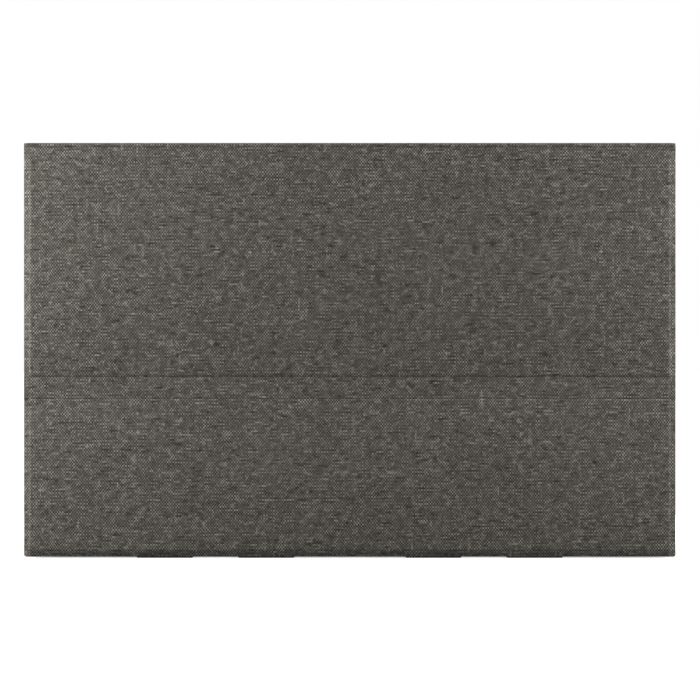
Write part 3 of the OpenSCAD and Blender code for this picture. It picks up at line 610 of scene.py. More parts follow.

# %% [markdown]
# ## The strip that folds
# Between the two boards only cloth and lining are left, so that the cover can fold there. The strip
# is level to its edge and a little lower than the boards' fields beside it. It is cut into
# many narrow bands, because it has to bend into a smooth roll.

# %% Folding strip, outside
def plain_strip(name, low, high, level, faces, seat=None, bands=(), spin=None, half_width=None,
                thick=None):
    """A strip of sheet, hemmed where it has a seat on the lining.

    bands are cuts along it, and spin rounds a bend at its upper end: which side the bend is on, its
    centre's y, the y where the strip ends, the number of steps, and how far it is drawn out in y."""
    width = half_width or cover_half
    out = outwards[faces]
    piece = start_sheet(name, width, low, high, level, faces)
    if seat is not None:
        cut_at("x", [-cover_half + knee_width, cover_half - knee_width])
        pick("VERT", lambda p, v: abs(p.x) > width - 0.02)
        drop = edge_drop / spin[-1] if spin else edge_drop
        move(*[-n * drop for n in out])
        hem(out, width, lambda p: abs(abs(p.x) - width) < 0.02, seat)
    cut_at("z" if out[1] else "y", bands)
    if spin:
        side, centre_y, end_y, steps, stretch = spin
        pick("EDGE", lambda p, e: e.is_boundary and abs(p.z - high) < 0.01)
        bpy.ops.mesh.spin(steps=steps, angle=-side * math.pi / 2, axis=(1, 0, 0),
                          center=(0, centre_y * mm, high * mm))
        pick("VERT", lambda p, v: (p.y - centre_y) * side > 0.001)
        bpy.ops.transform.resize(value=(1, stretch, 1), center_override=(0, centre_y * mm, 0))
        pick("EDGE", lambda p, e: e.is_boundary and abs(p.y - centre_y) < 0.01 and p.z > high)
        draw_out(y=end_y - centre_y)
    bpy.ops.mesh.select_all(action="SELECT")
    bpy.ops.mesh.remove_doubles(threshold=0.001 * mm)
    bpy.ops.mesh.normals_make_consistent(inside=False)
    axis = 1 if out[1] else 2
    if pick("FACE", lambda p, f: abs(p[axis] - level) < 0.01 and f.normal.dot(Vector(out)) < 0):
        bpy.ops.mesh.select_all(action="SELECT")
        bpy.ops.mesh.flip_normals()
    close_up(piece)
    use(piece, "SOLIDIFY", thickness=(thick or cloth_thick) * mm, offset=-1)
    return piece


fold_low, fold_high = z_of("fold_strip")
band_count = 24
fold_bands = [fold_low + (fold_high - fold_low) * i / band_count for i in range(1, band_count)]
fold_cloth = plain_strip("fold_fabric", fold_low, fold_high, front_level, "front", front_seat, fold_bands)
dress(fold_cloth, "fold_strip")

# %% [markdown]
# ## The bends over the top edge
# Over each top edge the cloth turns a tight quarter circle. A leg of the strip is made flat, and
# its upper edge is spun about the bend's own axis, which is how a sheet is folded over a rod. The
# round is then drawn out forwards, because the cloth lies further from the axis in front than
# above, and its last row is drawn on along the top.

# %% Bends, outside
spine_front, spine_back = -5.5, 5.0
rear_level, rear_seat = 8.4, 6.5
bend_reach = front_bend_y - front_level
stretch = bend_reach / bend_radius
seat_reach = (front_bend_y - front_seat) / stretch
cloth_steps = 12
front_corner = plain_strip("front_corner_fabric", upper_high, bend_z, front_bend_y - bend_radius, "front",
                           front_bend_y - seat_reach,
                           spin=(-1, front_bend_y, spine_front, cloth_steps, stretch))
rear_corner = plain_strip("rear_corner_fabric", upper_high, bend_z, rear_bend_y + bend_radius, "back",
                          rear_bend_y + seat_reach,
                          spin=(1, rear_bend_y, spine_back, cloth_steps, stretch))
dress(front_corner, "front_corner_strip")
dress(rear_corner, "rear_corner_strip")

# %% [markdown]
# ## The spine
# The spine lies on the monitor's top edge, between the two bends, with the same edges.

# %% Spine, outside
spine_top = bend_z + bend_radius
spine_cloth = plain_strip("spine_fabric", spine_front, spine_back, spine_top, "up", bend_z + seat_reach)
dress(spine_cloth, "spine_skin", "spine")

# %% [markdown]
# ## The flap on the back
# Behind the monitor the cloth comes down as a short flap with its own board, and ends in a free
# edge with rounded corners. Magnets inside hold it to the casing.

# %% Flap, outside
flap_low, flap_high = z_of("flap_skin")
flap_cloth = press_over("flap_fabric", flap_low, flap_high, rear_level, "back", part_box("flap_skin")[1].y / mm,
                        board_of("flap_board"), rear_seat, z_free=flap_low)
dress(flap_cloth, "flap_skin", "monitor")

# %% [markdown]
# ## The lining
# The inside of the cover is lined with a dark, short-napped cloth that doesn't scratch the screen.
# Its nap is far too short to model as hair. A fine cellular bump, a broad cloud where the nap lies
# differently, and sheen at grazing angles give its soft look.

# %% Lining finish
def object_place(tree, scale=(1, 1, 1)):
    """The place on the object, in metres, stretched along each axis."""
    point = add_node(tree, "ShaderNodeTexCoord").outputs["Object"]
    return add_node(tree, "ShaderNodeMapping", {"Vector": point, "Scale": scale}).outputs[0]


def noise(tree, scale, detail=2.0, drawn_out=(1, 1, 1)):
    """Noise over the object: scale is how many times it changes in a metre."""
    return add_node(tree, "ShaderNodeTexNoise", {
        "Vector": object_place(tree, drawn_out), "Scale": scale, "Detail": detail}).outputs["Fac"]


def new_finish(name):
    """A new material and its empty node tree."""
    made = bpy.data.materials.new(name)
    made.use_nodes = True
    made.node_tree.nodes.clear()
    return made, made.node_tree


def surface(tree, colour, height=None, depth=0.05, strength=0.6, **sockets):
    """Ends a finish with one surface shader. height is the bump, depth its full height in mm."""
    inputs = {"Base Color": colour, **sockets}
    if height is not None:
        inputs["Normal"] = add_node(tree, "ShaderNodeBump", {
            "Height": height, "Strength": strength, "Distance": depth * mm}).outputs[0]
    skin = add_node(tree, "ShaderNodeBsdfPrincipled", inputs)
    add_node(tree, "ShaderNodeOutputMaterial", {"Surface": skin.outputs[0]})


lining, tree = new_finish("napped_lining")
nap = add_node(tree, "ShaderNodeTexVoronoi", {
    "Vector": object_place(tree), "Scale": 2600.0}, feature="F1").outputs["Distance"]
cloudy = noise(tree, 22, 3)
colour = ramp(tree, calc(tree, "MULTIPLY_ADD", nap, 0.25, cloudy), [
    (0.3, (0.0125, 0.0125, 0.0130)), (0.6, (0.0205, 0.0205, 0.0212)), (0.9, (0.030, 0.030, 0.031))])
surface(tree, colour, nap, 0.08, 0.5, **{
    "Roughness": 0.95, "Specular IOR Level": 0.15, "Sheen Weight": 0.35, "Sheen Roughness": 0.4})
print("lining finish:", len(tree.nodes), "nodes")

# %% [markdown]
# ## Lining on the panels
# The lining is cut a little smaller than the cover, and its edge is pressed into a shallow step
# along the boards' outline, which shows as a fine frame on the inside. It is pressed in the same
# way as the cloth outside, with a far smaller step.

# %% Lining sheets
lining_half = 176.0
lining_thick = 0.2
lining_step, lining_slope, lining_crease = 0.15, 0.5, 0.15


def line_panel(name, low, high, level, faces, board, free=None, corner=2.0):
    """A lining sheet with its pressed outline. Its free edge stops short of the cover's hem."""
    out = outwards[faces]
    z_low = low + hem_width if free == low else low
    z_high = high
    piece = start_sheet(name, lining_half, z_low, z_high, level - out[1] * lining_step, faces)
    if free is not None:
        pick("VERT", lambda p, v: abs(p.z - z_low) < 0.01)
        bevel(corner, 5, "VERTICES")
    board_x, board_low, board_high = board
    cut_at("x", [-board_x - around_board, board_x + around_board])
    cut_at("z", [max(board_low - around_board, z_low + 0.3), board_high + around_board])
    pick("FACE", lambda p, f: abs(p.x) < board_x and board_low < p.z < board_high)
    bpy.ops.mesh.inset(thickness=lining_slope * mm, use_even_offset=True)
    move(y=out[1] * lining_step)
    pick("EDGE", lambda p, e: angle_of(e) > 0.1)
    bevel(lining_crease, 2)
    close_up(piece)
    use(piece, "SOLIDIFY", thickness=lining_thick * mm, offset=-1)
    return piece


def line(piece, node, body=None):
    """Finishes a piece of lining and lets it stand for its node."""
    piece.data.materials.append(lining)
    if body:
        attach(piece, body)
    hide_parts(node)
    tell(piece)


upper_lining = line_panel("upper_cover_lining", upper_low, upper_high, front_seat, "back",
                          board_of("upper_board"))
line(upper_lining, "upper_lining", "upper_panel")
lower_lining = line_panel("lower_cover_lining", lower_low, lower_high, front_seat, "back",
                          board_of("lower_board"), free=lower_low)
line(lower_lining, "lower_lining", "lower_panel")
flap_lining = line_panel("flap_cover_lining", flap_low, flap_high, rear_seat, "front",
                         board_of("flap_board"), free=flap_low)
line(flap_lining, "flap_lining", "monitor")

# %% [markdown]
# ## Lining in the fold, the bends and the spine
# The same helper that made the outside strips makes the inner ones, without a hem and at the
# inner radius.

# %% Lining strips
lining_level = front_seat - lining_step
lining_steps = 10
spine_under = spine_top - 1.0
fold_lining = plain_strip("fold_cover_lining", fold_low, fold_high, lining_level, "back", bands=fold_bands,
                          half_width=lining_half, thick=lining_thick)
line(fold_lining, "fold_strip")
front_corner_lining = plain_strip("front_corner_lining", upper_high, bend_z, lining_level, "back",
                                  spin=(-1, front_bend_y, spine_front, lining_steps, 1),
                                  half_width=lining_half, thick=lining_thick)
line(front_corner_lining, "front_corner_strip")
rear_corner_lining = plain_strip("rear_corner_lining", upper_high, bend_z, rear_seat + lining_step, "front",
                                 spin=(1, rear_bend_y, spine_back, lining_steps, 1),
                                 half_width=lining_half, thick=lining_thick)
line(rear_corner_lining, "rear_corner_strip")
spine_inner = plain_strip("spine_inner_lining", spine_front, spine_back, spine_under + lining_step, "down",
                          half_width=lining_half, thick=lining_thick)
line(spine_inner, "spine_lining", "spine")

for piece in (fold_cloth, fold_lining):
    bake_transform(piece)
for piece in (front_corner, front_corner_lining):
    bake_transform(piece)
for piece in (rear_corner, rear_corner_lining):
    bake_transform(piece)
print("strips bend across", len(fold_bands) + 1, "bands in the fold")

# %% [markdown]
# ## The rubber feet
# Four long black feet carry the monitor and show just below the cover. Real ones are moulded, with
# rounded corners and edges and a sole that is sunk a little inside its rim. One is modelled and
# copied to the others, each with its own mesh.

# %% Rubber finish and feet
rubber, tree = new_finish("black_rubber")
speck = noise(tree, 1400, 3)
wear = noise(tree, 60, 3)
surface(tree, ramp(tree, calc(tree, "MULTIPLY_ADD", speck, 0.3, wear), [
    (0.35, (0.0060, 0.0060, 0.0062)), (0.8, (0.012, 0.012, 0.0124))]), speck, 0.05, 0.35, **{
    "Roughness": range_of(tree, wear, 0.3, 0.7, 0.66, 0.82), "Specular IOR Level": 0.25})


def extent(node):
    """A node's lowest and highest corner, in mm."""
    low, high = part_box(node)
    return low / mm, high / mm


def finish_piece(piece, material, body, nodes):
    """Gives a finished piece its material and its place in the frame."""
    piece.data.materials.clear()
    piece.data.materials.append(material)
    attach(piece, body)
    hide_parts(*nodes)
    tell(piece)


def copy_at(piece, name, shift):
    """A copy of a piece with its own mesh, moved by an amount in mm."""
    only(piece)
    bpy.ops.object.duplicate()
    twin = bpy.context.object
    twin.name = twin.data.name = name
    bpy.ops.transform.translate(value=[s * mm for s in shift])
    bpy.ops.object.transform_apply(location=True, rotation=True, scale=True)
    return twin


foot_low, foot_high = extent("rubber_feet")
foot_half = 15.2
foot_corner, foot_edge = 1.0, 0.35
sole_rim, sole_step, sole_sink = 0.3, 0.15, 0.2
foot_places = (-100.8, -45.6, 45.6, 100.8)
first_foot = start_block("rubber_foot_1", (foot_places[0] - foot_half, foot_low.y, 0),
                         (foot_places[0] + foot_half, foot_high.y, foot_high.z))
pick("EDGE", lambda p, e: abs(e.verts[0].co.z - e.verts[1].co.z) > mm)
bevel(foot_corner, 5)
pick("EDGE", lambda p, e: p.z < 0.01 and angle_of(e) > 1)
bevel(foot_edge, 3)
pick("FACE", lambda p, f: f.normal.z < -0.99)
bpy.ops.mesh.inset(thickness=sole_rim * mm)
bpy.ops.mesh.inset(thickness=sole_step * mm)
move(z=sole_sink)
close_up(first_foot)
feet = [first_foot] + [copy_at(first_foot, f"rubber_foot_{i + 2}", (x - foot_places[0], 0, 0))
                       for i, x in enumerate(foot_places[1:])]
for foot in feet:
    finish_piece(foot, rubber, "monitor", ["rubber_feet"])

# %% [markdown]
# ## The bezel
# The bezel is a thin black plastic frame around the screen. It is cut from one block: the corners
# are rounded, the window's outline is cut into front and back and bridged through, and the edges
# are broken so that they catch a line of light. Its finish is the fine spark-eroded grain of moulded plastic.

# %% Moulded plastic finish and bezel
def moulded(name, dark, pale, grain=3200, depth=0.02, rough=(0.42, 0.6)):
    """Moulded plastic with a fine grain and a little unevenness in its gloss."""
    made, tree = new_finish(name)
    eroded = add_node(tree, "ShaderNodeTexVoronoi", {
        "Vector": object_place(tree), "Scale": float(grain)}, feature="SMOOTH_F1").outputs["Distance"]
    handled = noise(tree, 35, 3)
    surface(tree, ramp(tree, calc(tree, "MULTIPLY_ADD", eroded, 0.2, handled), [
        (0.3, dark), (0.85, pale)]), eroded, depth, 0.5, **{
        "Roughness": range_of(tree, handled, 0.3, 0.7, *rough), "Specular IOR Level": 0.45})
    return made


bezel_plastic = moulded("bezel_plastic", (0.0095, 0.0095, 0.0102), (0.0150, 0.0150, 0.0158))
bezel_low, bezel_high = extent("front_bezel")
body_radius = 4.0
window_x, window_low, window_high = 172.1, 23.8, 217.4
bezel_edge = 0.22
bezel = start_block("bezel_frame", bezel_low, bezel_high)
pick("EDGE", lambda p, e: abs(e.verts[0].co.y - e.verts[1].co.y) > 0.5 * mm)
bevel(body_radius, 10)
cut_at("x", [-window_x, window_x])
cut_at("z", [window_low, window_high])
pick("FACE", lambda p, f: abs(f.normal.y) > 0.99 and abs(p.x) < window_x and window_low < p.z < window_high)
bpy.ops.mesh.bridge_edge_loops()
pick("EDGE", lambda p, e: angle_of(e) > 1 and p.y < bezel_low.y + 0.01)
bevel(bezel_edge, 3)
close_up(bezel, 35)
finish_piece(bezel, bezel_plastic, "monitor", ["front_bezel"])

# %% [markdown]
# ## The screen
# Switched off, a matt screen is a nearly black sheet whose surface scatters reflections, with a
# slightly deeper black border where no picture is shown. The cell's solid is already right, so it
# keeps its shape and only gets a finish. The border is painted by where a point lies.

# %% Screen finish
screen, tree = new_finish("matt_screen")
point = add_node(tree, "ShaderNodeSeparateXYZ", {
    "Vector": add_node(tree, "ShaderNodeTexCoord").outputs["Object"]}).outputs
screen_middle = (window_low + window_high) / 2 * mm
picture_x, picture_z = 171.9 * mm, 96.6 * mm
beyond_x = calc(tree, "SUBTRACT", calc(tree, "ABSOLUTE", point["X"]), picture_x)
beyond_z = calc(tree, "SUBTRACT", calc(tree, "ABSOLUTE", calc(tree, "SUBTRACT", point["Z"], screen_middle)),
                picture_z)
border = calc(tree, "GREATER_THAN", calc(tree, "MAXIMUM", beyond_x, beyond_z), 0)
anti_glare = noise(tree, 5200, 2)
picture_colour = ramp(tree, noise(tree, 9, 2), [
    (0.3, (0.0100, 0.0105, 0.0120)), (0.7, (0.0125, 0.0130, 0.0148))])
glass_colour = add_node(tree, "ShaderNodeMix", {
    0: border, 6: picture_colour, 7: (0.004, 0.004, 0.0042, 1)}, data_type="RGBA").outputs[2]
surface(tree, glass_colour, anti_glare, 0.006, 0.4, **{
    "Roughness": range_of(tree, noise(tree, 16, 3), 0.3, 0.7, 0.30, 0.38), "Specular IOR Level": 0.5})


def recolour(node, material):
    """Gives a CAD node a better finish in every one of its material slots."""
    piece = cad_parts[node]
    if not piece.data.materials:
        piece.data.materials.append(material)
    for index in range(len(piece.data.materials)):
        piece.data.materials[index] = material


recolour("lcd_cell", screen)
print("screen finished")

# %% [markdown]
# ## The back housing
# The monitor's back is one moulded tray. Its sides slant inwards at the back, so that it looks
# thinner than it is. The outside is a block with rounded corners whose sides are cut off at a
# slant, and the same block, drawn in by the wall, is what hollows it. Openings could be bridged by
# hand one by one, but a Boolean modifier takes all of them out in one step, so each opening is only
# a small block or cylinder at its place.

# %% Tools for cutting
wall = 1.6
slant_wide, slant_deep = 3.5, 2.6
back_edge, front_edge = 0.5, 0.15


def round_bar(name, axis, middle, radius, length, steps=40):
    """Opens a cylinder that lies along x or y, with its middle at a place in mm."""
    clear()
    turn = {"x": (0, math.pi / 2, 0), "y": (math.pi / 2, 0, 0)}[axis]
    bpy.ops.mesh.primitive_cylinder_add(
        vertices=steps, radius=radius * mm, depth=length * mm, location=Vector(middle) * mm, rotation=turn)
    return start(name)


def stepped_bar(name, axis, mouth, side, wide, wide_depth, narrow, narrow_depth):
    """A cylinder that starts at its mouth and goes on as a narrower one, towards -side."""
    along = "xyz".index(axis)
    middle = Vector(mouth)
    middle[along] -= side * wide_depth / 2
    piece = round_bar(name, axis, middle, wide, wide_depth)
    pick("FACE", lambda p, f: f.normal[along] * side < -0.9)
    bpy.ops.mesh.inset(thickness=(wide - narrow) * mm)
    draw_out(**{axis: -side * narrow_depth})
    return piece


def long_hole(name, low, high, radius):
    """A block through a side wall whose edges along x are rounded."""
    piece = start_block(name, low, high)
    pick("EDGE", lambda p, e: abs(e.verts[0].co.x - e.verts[1].co.x) > mm)
    bevel(radius, 8)
    return piece


def unite(name, pieces):
    """Joins separate pieces into one object."""
    only(pieces[0])
    for piece in pieces[1:]:
        piece.select_set(True)
    bpy.ops.object.join()
    pieces[0].name = name
    return pieces[0]


def carve(piece, tool):
    """Takes a tool away from a piece and throws the tool away."""
    use(piece, "BOOLEAN", object=tool, operation="DIFFERENCE", solver="EXACT")
    only(tool)
    bpy.ops.object.delete()
    print("cutting leaves", len(piece.data.polygons), "faces on", piece.name)


def even_shading(piece, angle=30):
    """Shades a cut piece so that its large flat faces stay flat beside small rounds."""
    only(piece)
    bpy.ops.object.shade_smooth_by_angle(angle=math.radians(angle))
    use(piece, "WEIGHTED_NORMAL", keep_sharp=True, weight=80)


# %% Housing and its hollow
shell_low, shell_high = extent("rear_shell")


def housing_block(name, inset, front):
    """The housing's outer form, drawn in by an inset, from a front plane to its back."""
    half, back = shell_high.x - inset, shell_high.y - inset
    piece = start_block(name, (-half, front, shell_low.z + inset), (half, back, shell_high.z - inset))
    pick("EDGE", lambda p, e: abs(e.verts[0].co.y - e.verts[1].co.y) > mm)
    bevel(body_radius - inset, 10)
    for side in (-1, 1):
        bpy.ops.mesh.select_all(action="SELECT")
        bpy.ops.mesh.bisect(plane_co=(side * half * mm, (back - slant_deep) * mm, 0),
                            plane_no=(side * slant_deep, slant_wide, 0), clear_outer=True, use_fill=True)
    return piece


housing = housing_block("rear_housing", 0, shell_low.y)
pick("EDGE", lambda p, e: angle_of(e) > 0.4 and p.y > shell_low.y + 0.01)
bevel(back_edge, 3)
pick("EDGE", lambda p, e: angle_of(e) > 1 and p.y < shell_low.y + 0.01)
bevel(front_edge, 2)
hollow = housing_block("hollow", wall, shell_low.y - 1)

bay_places, bay_half, bay_wall = (-73.2, 73.2), 12.5, 1.2
bay_front, bay_top = -0.9, 10.3
past_back = 12
bay_walls = unite("bay_walls", [start_block(
    f"bay_wall_{i}", (x - bay_half - bay_wall, bay_front - bay_wall, 0),
    (x + bay_half + bay_wall, past_back, bay_top + bay_wall)) for i, x in enumerate(bay_places)])
carve(hollow, bay_walls)
carve(housing, hollow)

# %% [markdown]
# ## Openings in the housing
# On the right side, seen from the front, are a round audio socket, a small display socket and two
# reversible data sockets. On the left side are the power key, a pin-sized status light and a small
# joystick in a shallow dish. The back has two rows of sound slots, six screw recesses, a finger scoop
# above the stand and two bays for the stand's hinges.

# %% Cut the openings on the sides
right_wall, left_wall = (170, 179), (-179, -174)
port_y, key_y = 1.3, -0.05
data_ports, data_half_y, data_half_z, data_radius = (72, 90), 1.73, 4.62, 1.72
display_z, display_half_y, display_half_z, display_radius = 54, 1.75, 5.75, 0.5
audio_z, audio_radius = 36, 2.55
key_z, key_half_y, key_half_z, key_radius = 66, 1.5, 4.7, 1.49
light_z, light_radius = 76, 0.75
stick_z, dish_radius, dish_depth, stem_radius, stem_depth = 86, 3.2, 1.9, 1.9, 2.5
hinge_y, hinge_z, pin_gap_radius = 2.6, 6.8, 1.8


def side_slot(name, ends, y, z, half_y, half_z, radius):
    """A rounded opening through a side wall, around its middle."""
    return long_hole(name, (ends[0], y - half_y, z - half_z), (ends[1], y + half_y, z + half_z), radius)


cuts = [start_block(f"bay_{i}", (x - bay_half, bay_front, 0), (x + bay_half, past_back, bay_top))
        for i, x in enumerate(bay_places)]
for z in data_ports:
    cuts.append(side_slot("data_opening", right_wall, port_y, z, data_half_y, data_half_z, data_radius))
cuts.append(side_slot("display_opening", right_wall, port_y, display_z, display_half_y, display_half_z,
                      display_radius))
cuts.append(round_bar("audio_opening", "x", (175, port_y, audio_z), audio_radius, 9))
cuts.append(side_slot("key_opening", left_wall, key_y, key_z, key_half_y, key_half_z, key_radius))
cuts.append(round_bar("light_opening", "x", (-176, key_y, light_z), light_radius, 6, 24))
dish_mouth = (-shell_high.x - 0.8, key_y, stick_z)
cuts.append(stepped_bar("stick_opening", "x", dish_mouth, -1, dish_radius, dish_depth,
                        stem_radius, stem_depth))

# %% Cut the openings on the back
recess_x, recess_z = (-105, 0, 105), (59.8, 170.1)
recess_radius, recess_depth, shank_radius, shank_depth = 2.05, 1.8, 1.15, 2.5
grille_places, slot_count, slot_pitch, slot_half, slot_radius = (-140, 140), 9, 3, 0.7, 0.69
slot_front, slot_back, slot_low, slot_high = 4, 8, 118, 134
scoop_half, scoop_low, scoop_high, scoop_depth = 17, 88.8, 98.8, 0.8
scoop_corner, scoop_slope = 3, 0.7
for x in recess_x:
    for z in recess_z:
        cuts.append(stepped_bar("screw_recess", "y", (x, shell_high.y + 1, z), 1, recess_radius,
                                recess_depth, shank_radius, shank_depth))
for x in grille_places:
    for i in range(slot_count):
        slot_x = x + (i - slot_count // 2) * slot_pitch
        cuts.append(start_block("sound_slot", (slot_x - slot_half, slot_front, slot_low),
                                (slot_x + slot_half, slot_back, slot_high)))
        pick("EDGE", lambda p, e: abs(e.verts[0].co.y - e.verts[1].co.y) > mm)
        bevel(slot_radius, 5)
scoop = start_block("finger_scoop", (-scoop_half, shell_high.y - scoop_depth, scoop_low),
                    (scoop_half, shell_high.y + 2, scoop_high))
pick("EDGE", lambda p, e: abs(e.verts[0].co.y - e.verts[1].co.y) > mm)
bevel(scoop_corner, 6)
pick("EDGE", lambda p, e: angle_of(e) > 1 and p.y < shell_high.y)
bevel(scoop_slope, 4)
cuts.append(scoop)
carve(housing, unite("openings", cuts))
carve(housing, unite("pin_openings", [
    round_bar(f"pin_opening_{i}", "x", (x, hinge_y, hinge_z), pin_gap_radius, 50)
    for i, x in enumerate(bay_places)]))
even_shading(housing)

# %% [markdown]
# ## Paint on the housing
# The housing is sprayed in a dark grey with very fine metal flakes. Flakes far smaller than the
# picture shows are only a small change of tone and roughness from cell to cell, over a paint skin
# with a faint orange peel.

# %% Flake paint
flake_paint, tree = new_finish("flake_paint")
flakes = add_node(tree, "ShaderNodeTexVoronoi", {
    "Vector": object_place(tree), "Scale": 3600.0}).outputs["Color"]
flake = add_node(tree, "ShaderNodeSeparateXYZ", {"Vector": flakes}).outputs["X"]
peel = noise(tree, 900, 2)
gloss = calc(tree, "MULTIPLY_ADD", flake, 0.3, noise(tree, 30, 3))
surface(tree, ramp(tree, flake, [(0.2, (0.040, 0.042, 0.047)), (0.8, (0.056, 0.058, 0.064)),
                                 (0.97, (0.10, 0.102, 0.11))]), peel, 0.02, 0.25, **{
    "Roughness": range_of(tree, gloss, 0.3, 0.9, 0.36, 0.5), "Metallic": 0.35, "Specular IOR Level": 0.5})
finish_piece(housing, flake_paint, "monitor", ["rear_shell"])

# %% [markdown]
# ## The stand
# A thin aluminium leaf folds out of the back on two hinges. It is sawn and milled from sheet, its
# arms are bent in to the hinges, and it is blasted with glass beads, so it has crisp, slightly broken
# edges and an even, finely dimpled surface. The arms could be added as blocks, but drawn out of the
# leaf's own lower edge they stay one skin. Their round ends are spun about the hinge's axis.

# %% Stand leaf
leaf_low, leaf_high = extent("stand_plate")
leaf_front, leaf_foot, knuckle = 6.6, 11.8, 3.0
arm_half, plate_corner = 11.8, 8.0
notch_half, notch_depth, notch_radius = 13, 3, 1.2
heel_slope, bore_radius, leaf_edge = 0.25, 1.55, 0.25
leaf = start_block("stand_leaf", (leaf_low.x, leaf_front, leaf_foot), leaf_high)
pick("EDGE", lambda p, e: abs(e.verts[0].co.y - e.verts[1].co.y) > mm and p.z > leaf_high.z - 1)
bevel(plate_corner, 12)
notch = start_block("grip_notch", (-notch_half, leaf_front - 1, leaf_high.z - notch_depth),
                    (notch_half, leaf_high.y + 1, leaf_high.z + 1))
pick("EDGE", lambda p, e: abs(e.verts[0].co.y - e.verts[1].co.y) > mm and p.z < leaf_high.z)
bevel(notch_radius, 5)
carve(leaf, notch)


def in_arm(x):
    """Whether an x lies within one of the two arms."""
    return any(abs(x - place) < arm_half + 0.01 for place in bay_places)


only(leaf)
bpy.ops.object.mode_set(mode="EDIT")
cut_at("x", [place + side * arm_half for place in bay_places for side in (-1, 1)])
pick("FACE", lambda p, f: f.normal.z < -0.9 and p.z < leaf_foot + 0.01 and in_arm(p.x))
draw_out(z=hinge_z + knuckle - leaf_foot)
draw_out(z=-knuckle)
pick("FACE", lambda p, f: f.normal.y < -0.9 and hinge_z < p.z < hinge_z + knuckle)
draw_out(y=hinge_y - leaf_front)
pick("FACE", lambda p, f: f.normal.z < -0.9 and abs(p.z - hinge_z) < 0.01)
draw_out(z=-knuckle)
arm_depth = leaf_high.y - hinge_y
pick("VERT", lambda p, v: abs(p.z - hinge_z + knuckle) < 0.01 and p.y > leaf_high.y - 0.01)
move(y=-heel_slope * arm_depth, z=knuckle / 2)
pick("VERT", lambda p, v: abs(p.z - hinge_z + knuckle) < 0.01 and abs(p.y - leaf_front) < 0.01)
move(z=(leaf_front - hinge_y) / ((1 - heel_slope) * arm_depth) * knuckle / 2)
pick("FACE", lambda p, f: f.normal.y < -0.9 and abs(p.y - hinge_y) < 0.01)
bpy.ops.mesh.delete(type="FACE")
pick("EDGE", lambda p, e: e.is_boundary and abs(p.y - hinge_y) < 0.01 and p.z < hinge_z - knuckle + 0.01)
bpy.ops.mesh.spin(steps=24, angle=math.pi, axis=(1, 0, 0), center=(0, hinge_y * mm, hinge_z * mm))
bpy.ops.mesh.select_all(action="SELECT")
bpy.ops.mesh.remove_doubles(threshold=0.005 * mm)
bpy.ops.mesh.select_all(action="SELECT")
bpy.ops.mesh.fill_holes(sides=0)
bpy.ops.mesh.select_all(action="SELECT")
bpy.ops.mesh.normals_make_consistent(inside=False)
carve(leaf, unite("pin_bores", [
    round_bar(f"pin_bore_{i}", "x", (x, hinge_y, hinge_z), bore_radius, 30)
    for i, x in enumerate(bay_places)]))
use(leaf, "BEVEL", width=leaf_edge * mm, segments=2, limit_method="ANGLE", angle_limit=math.radians(35))
even_shading(leaf)

blasted, tree = new_finish("bead_blasted_aluminium")
dimples = add_node(tree, "ShaderNodeTexVoronoi", {
    "Vector": object_place(tree), "Scale": 4200.0}, feature="SMOOTH_F1").outputs["Distance"]
handled = noise(tree, 26, 3)
surface(tree, ramp(tree, calc(tree, "MULTIPLY_ADD", dimples, 0.25, handled), [
    (0.2, (0.345, 0.35, 0.36)), (0.95, (0.395, 0.40, 0.41))]), dimples, 0.012, 0.5, **{
    "Roughness": range_of(tree, handled, 0.2, 0.8, 0.44, 0.47), "Metallic": 1.0})
finish_piece(leaf, blasted, "stand", ["stand_plate"])

# %% [markdown]
# ## The stand's pads
# Two rubber pads near the leaf's free end keep it from slipping on the table. They are cut from
# strip and their edges are soft. One is made and copied.

# %% Stand pads
pad_low, pad_high = extent("stand_pads")
pad_length, pad_pitch, pad_corner, pad_edge = 52, 168, 2, 0.3
first_pad = start_block("stand_pad_1", pad_low, (pad_low.x + pad_length, pad_high.y, pad_high.z))
pick("EDGE", lambda p, e: abs(e.verts[0].co.y - e.verts[1].co.y) > 0.5 * mm)
bevel(pad_corner, 6)
pick("EDGE", lambda p, e: p.y > pad_high.y - 0.01 and angle_of(e) > 1)
bevel(pad_edge, 3)
close_up(first_pad)
second_pad = copy_at(first_pad, "stand_pad_2", (pad_pitch, 0, 0))
for pad in (first_pad, second_pad):
    finish_piece(pad, rubber, "stand", ["stand_pads"])

# %% [markdown]
# ## Metals
# Bare metals differ in how they were made. Rolled sheet has long faint lines, plating is smooth
# and bright, and screws are dull with small marks. One helper makes all of them: noise, drawn out
# along the rolling direction, changes the tone and the roughness a little and gives a faint bump.

# %% Metal finishes
def bare_metal(name, dark, pale, rough, scale=420, rolled=(1, 1, 1), metallic=1.0):
    """Bare or plated metal with marks that may be drawn out along one axis."""
    made, tree = new_finish(name)
    marks = noise(tree, scale, 4, rolled)
    cloud = noise(tree, 40, 3)
    surface(tree, ramp(tree, calc(tree, "MULTIPLY_ADD", marks, 0.6, calc(tree, "MULTIPLY", cloud, 0.4)), [
        (0.3, dark), (0.7, pale)]), marks, 0.01, 0.3, **{
        "Roughness": range_of(tree, marks, 0.3, 0.7, *rough), "Metallic": metallic})
    return made


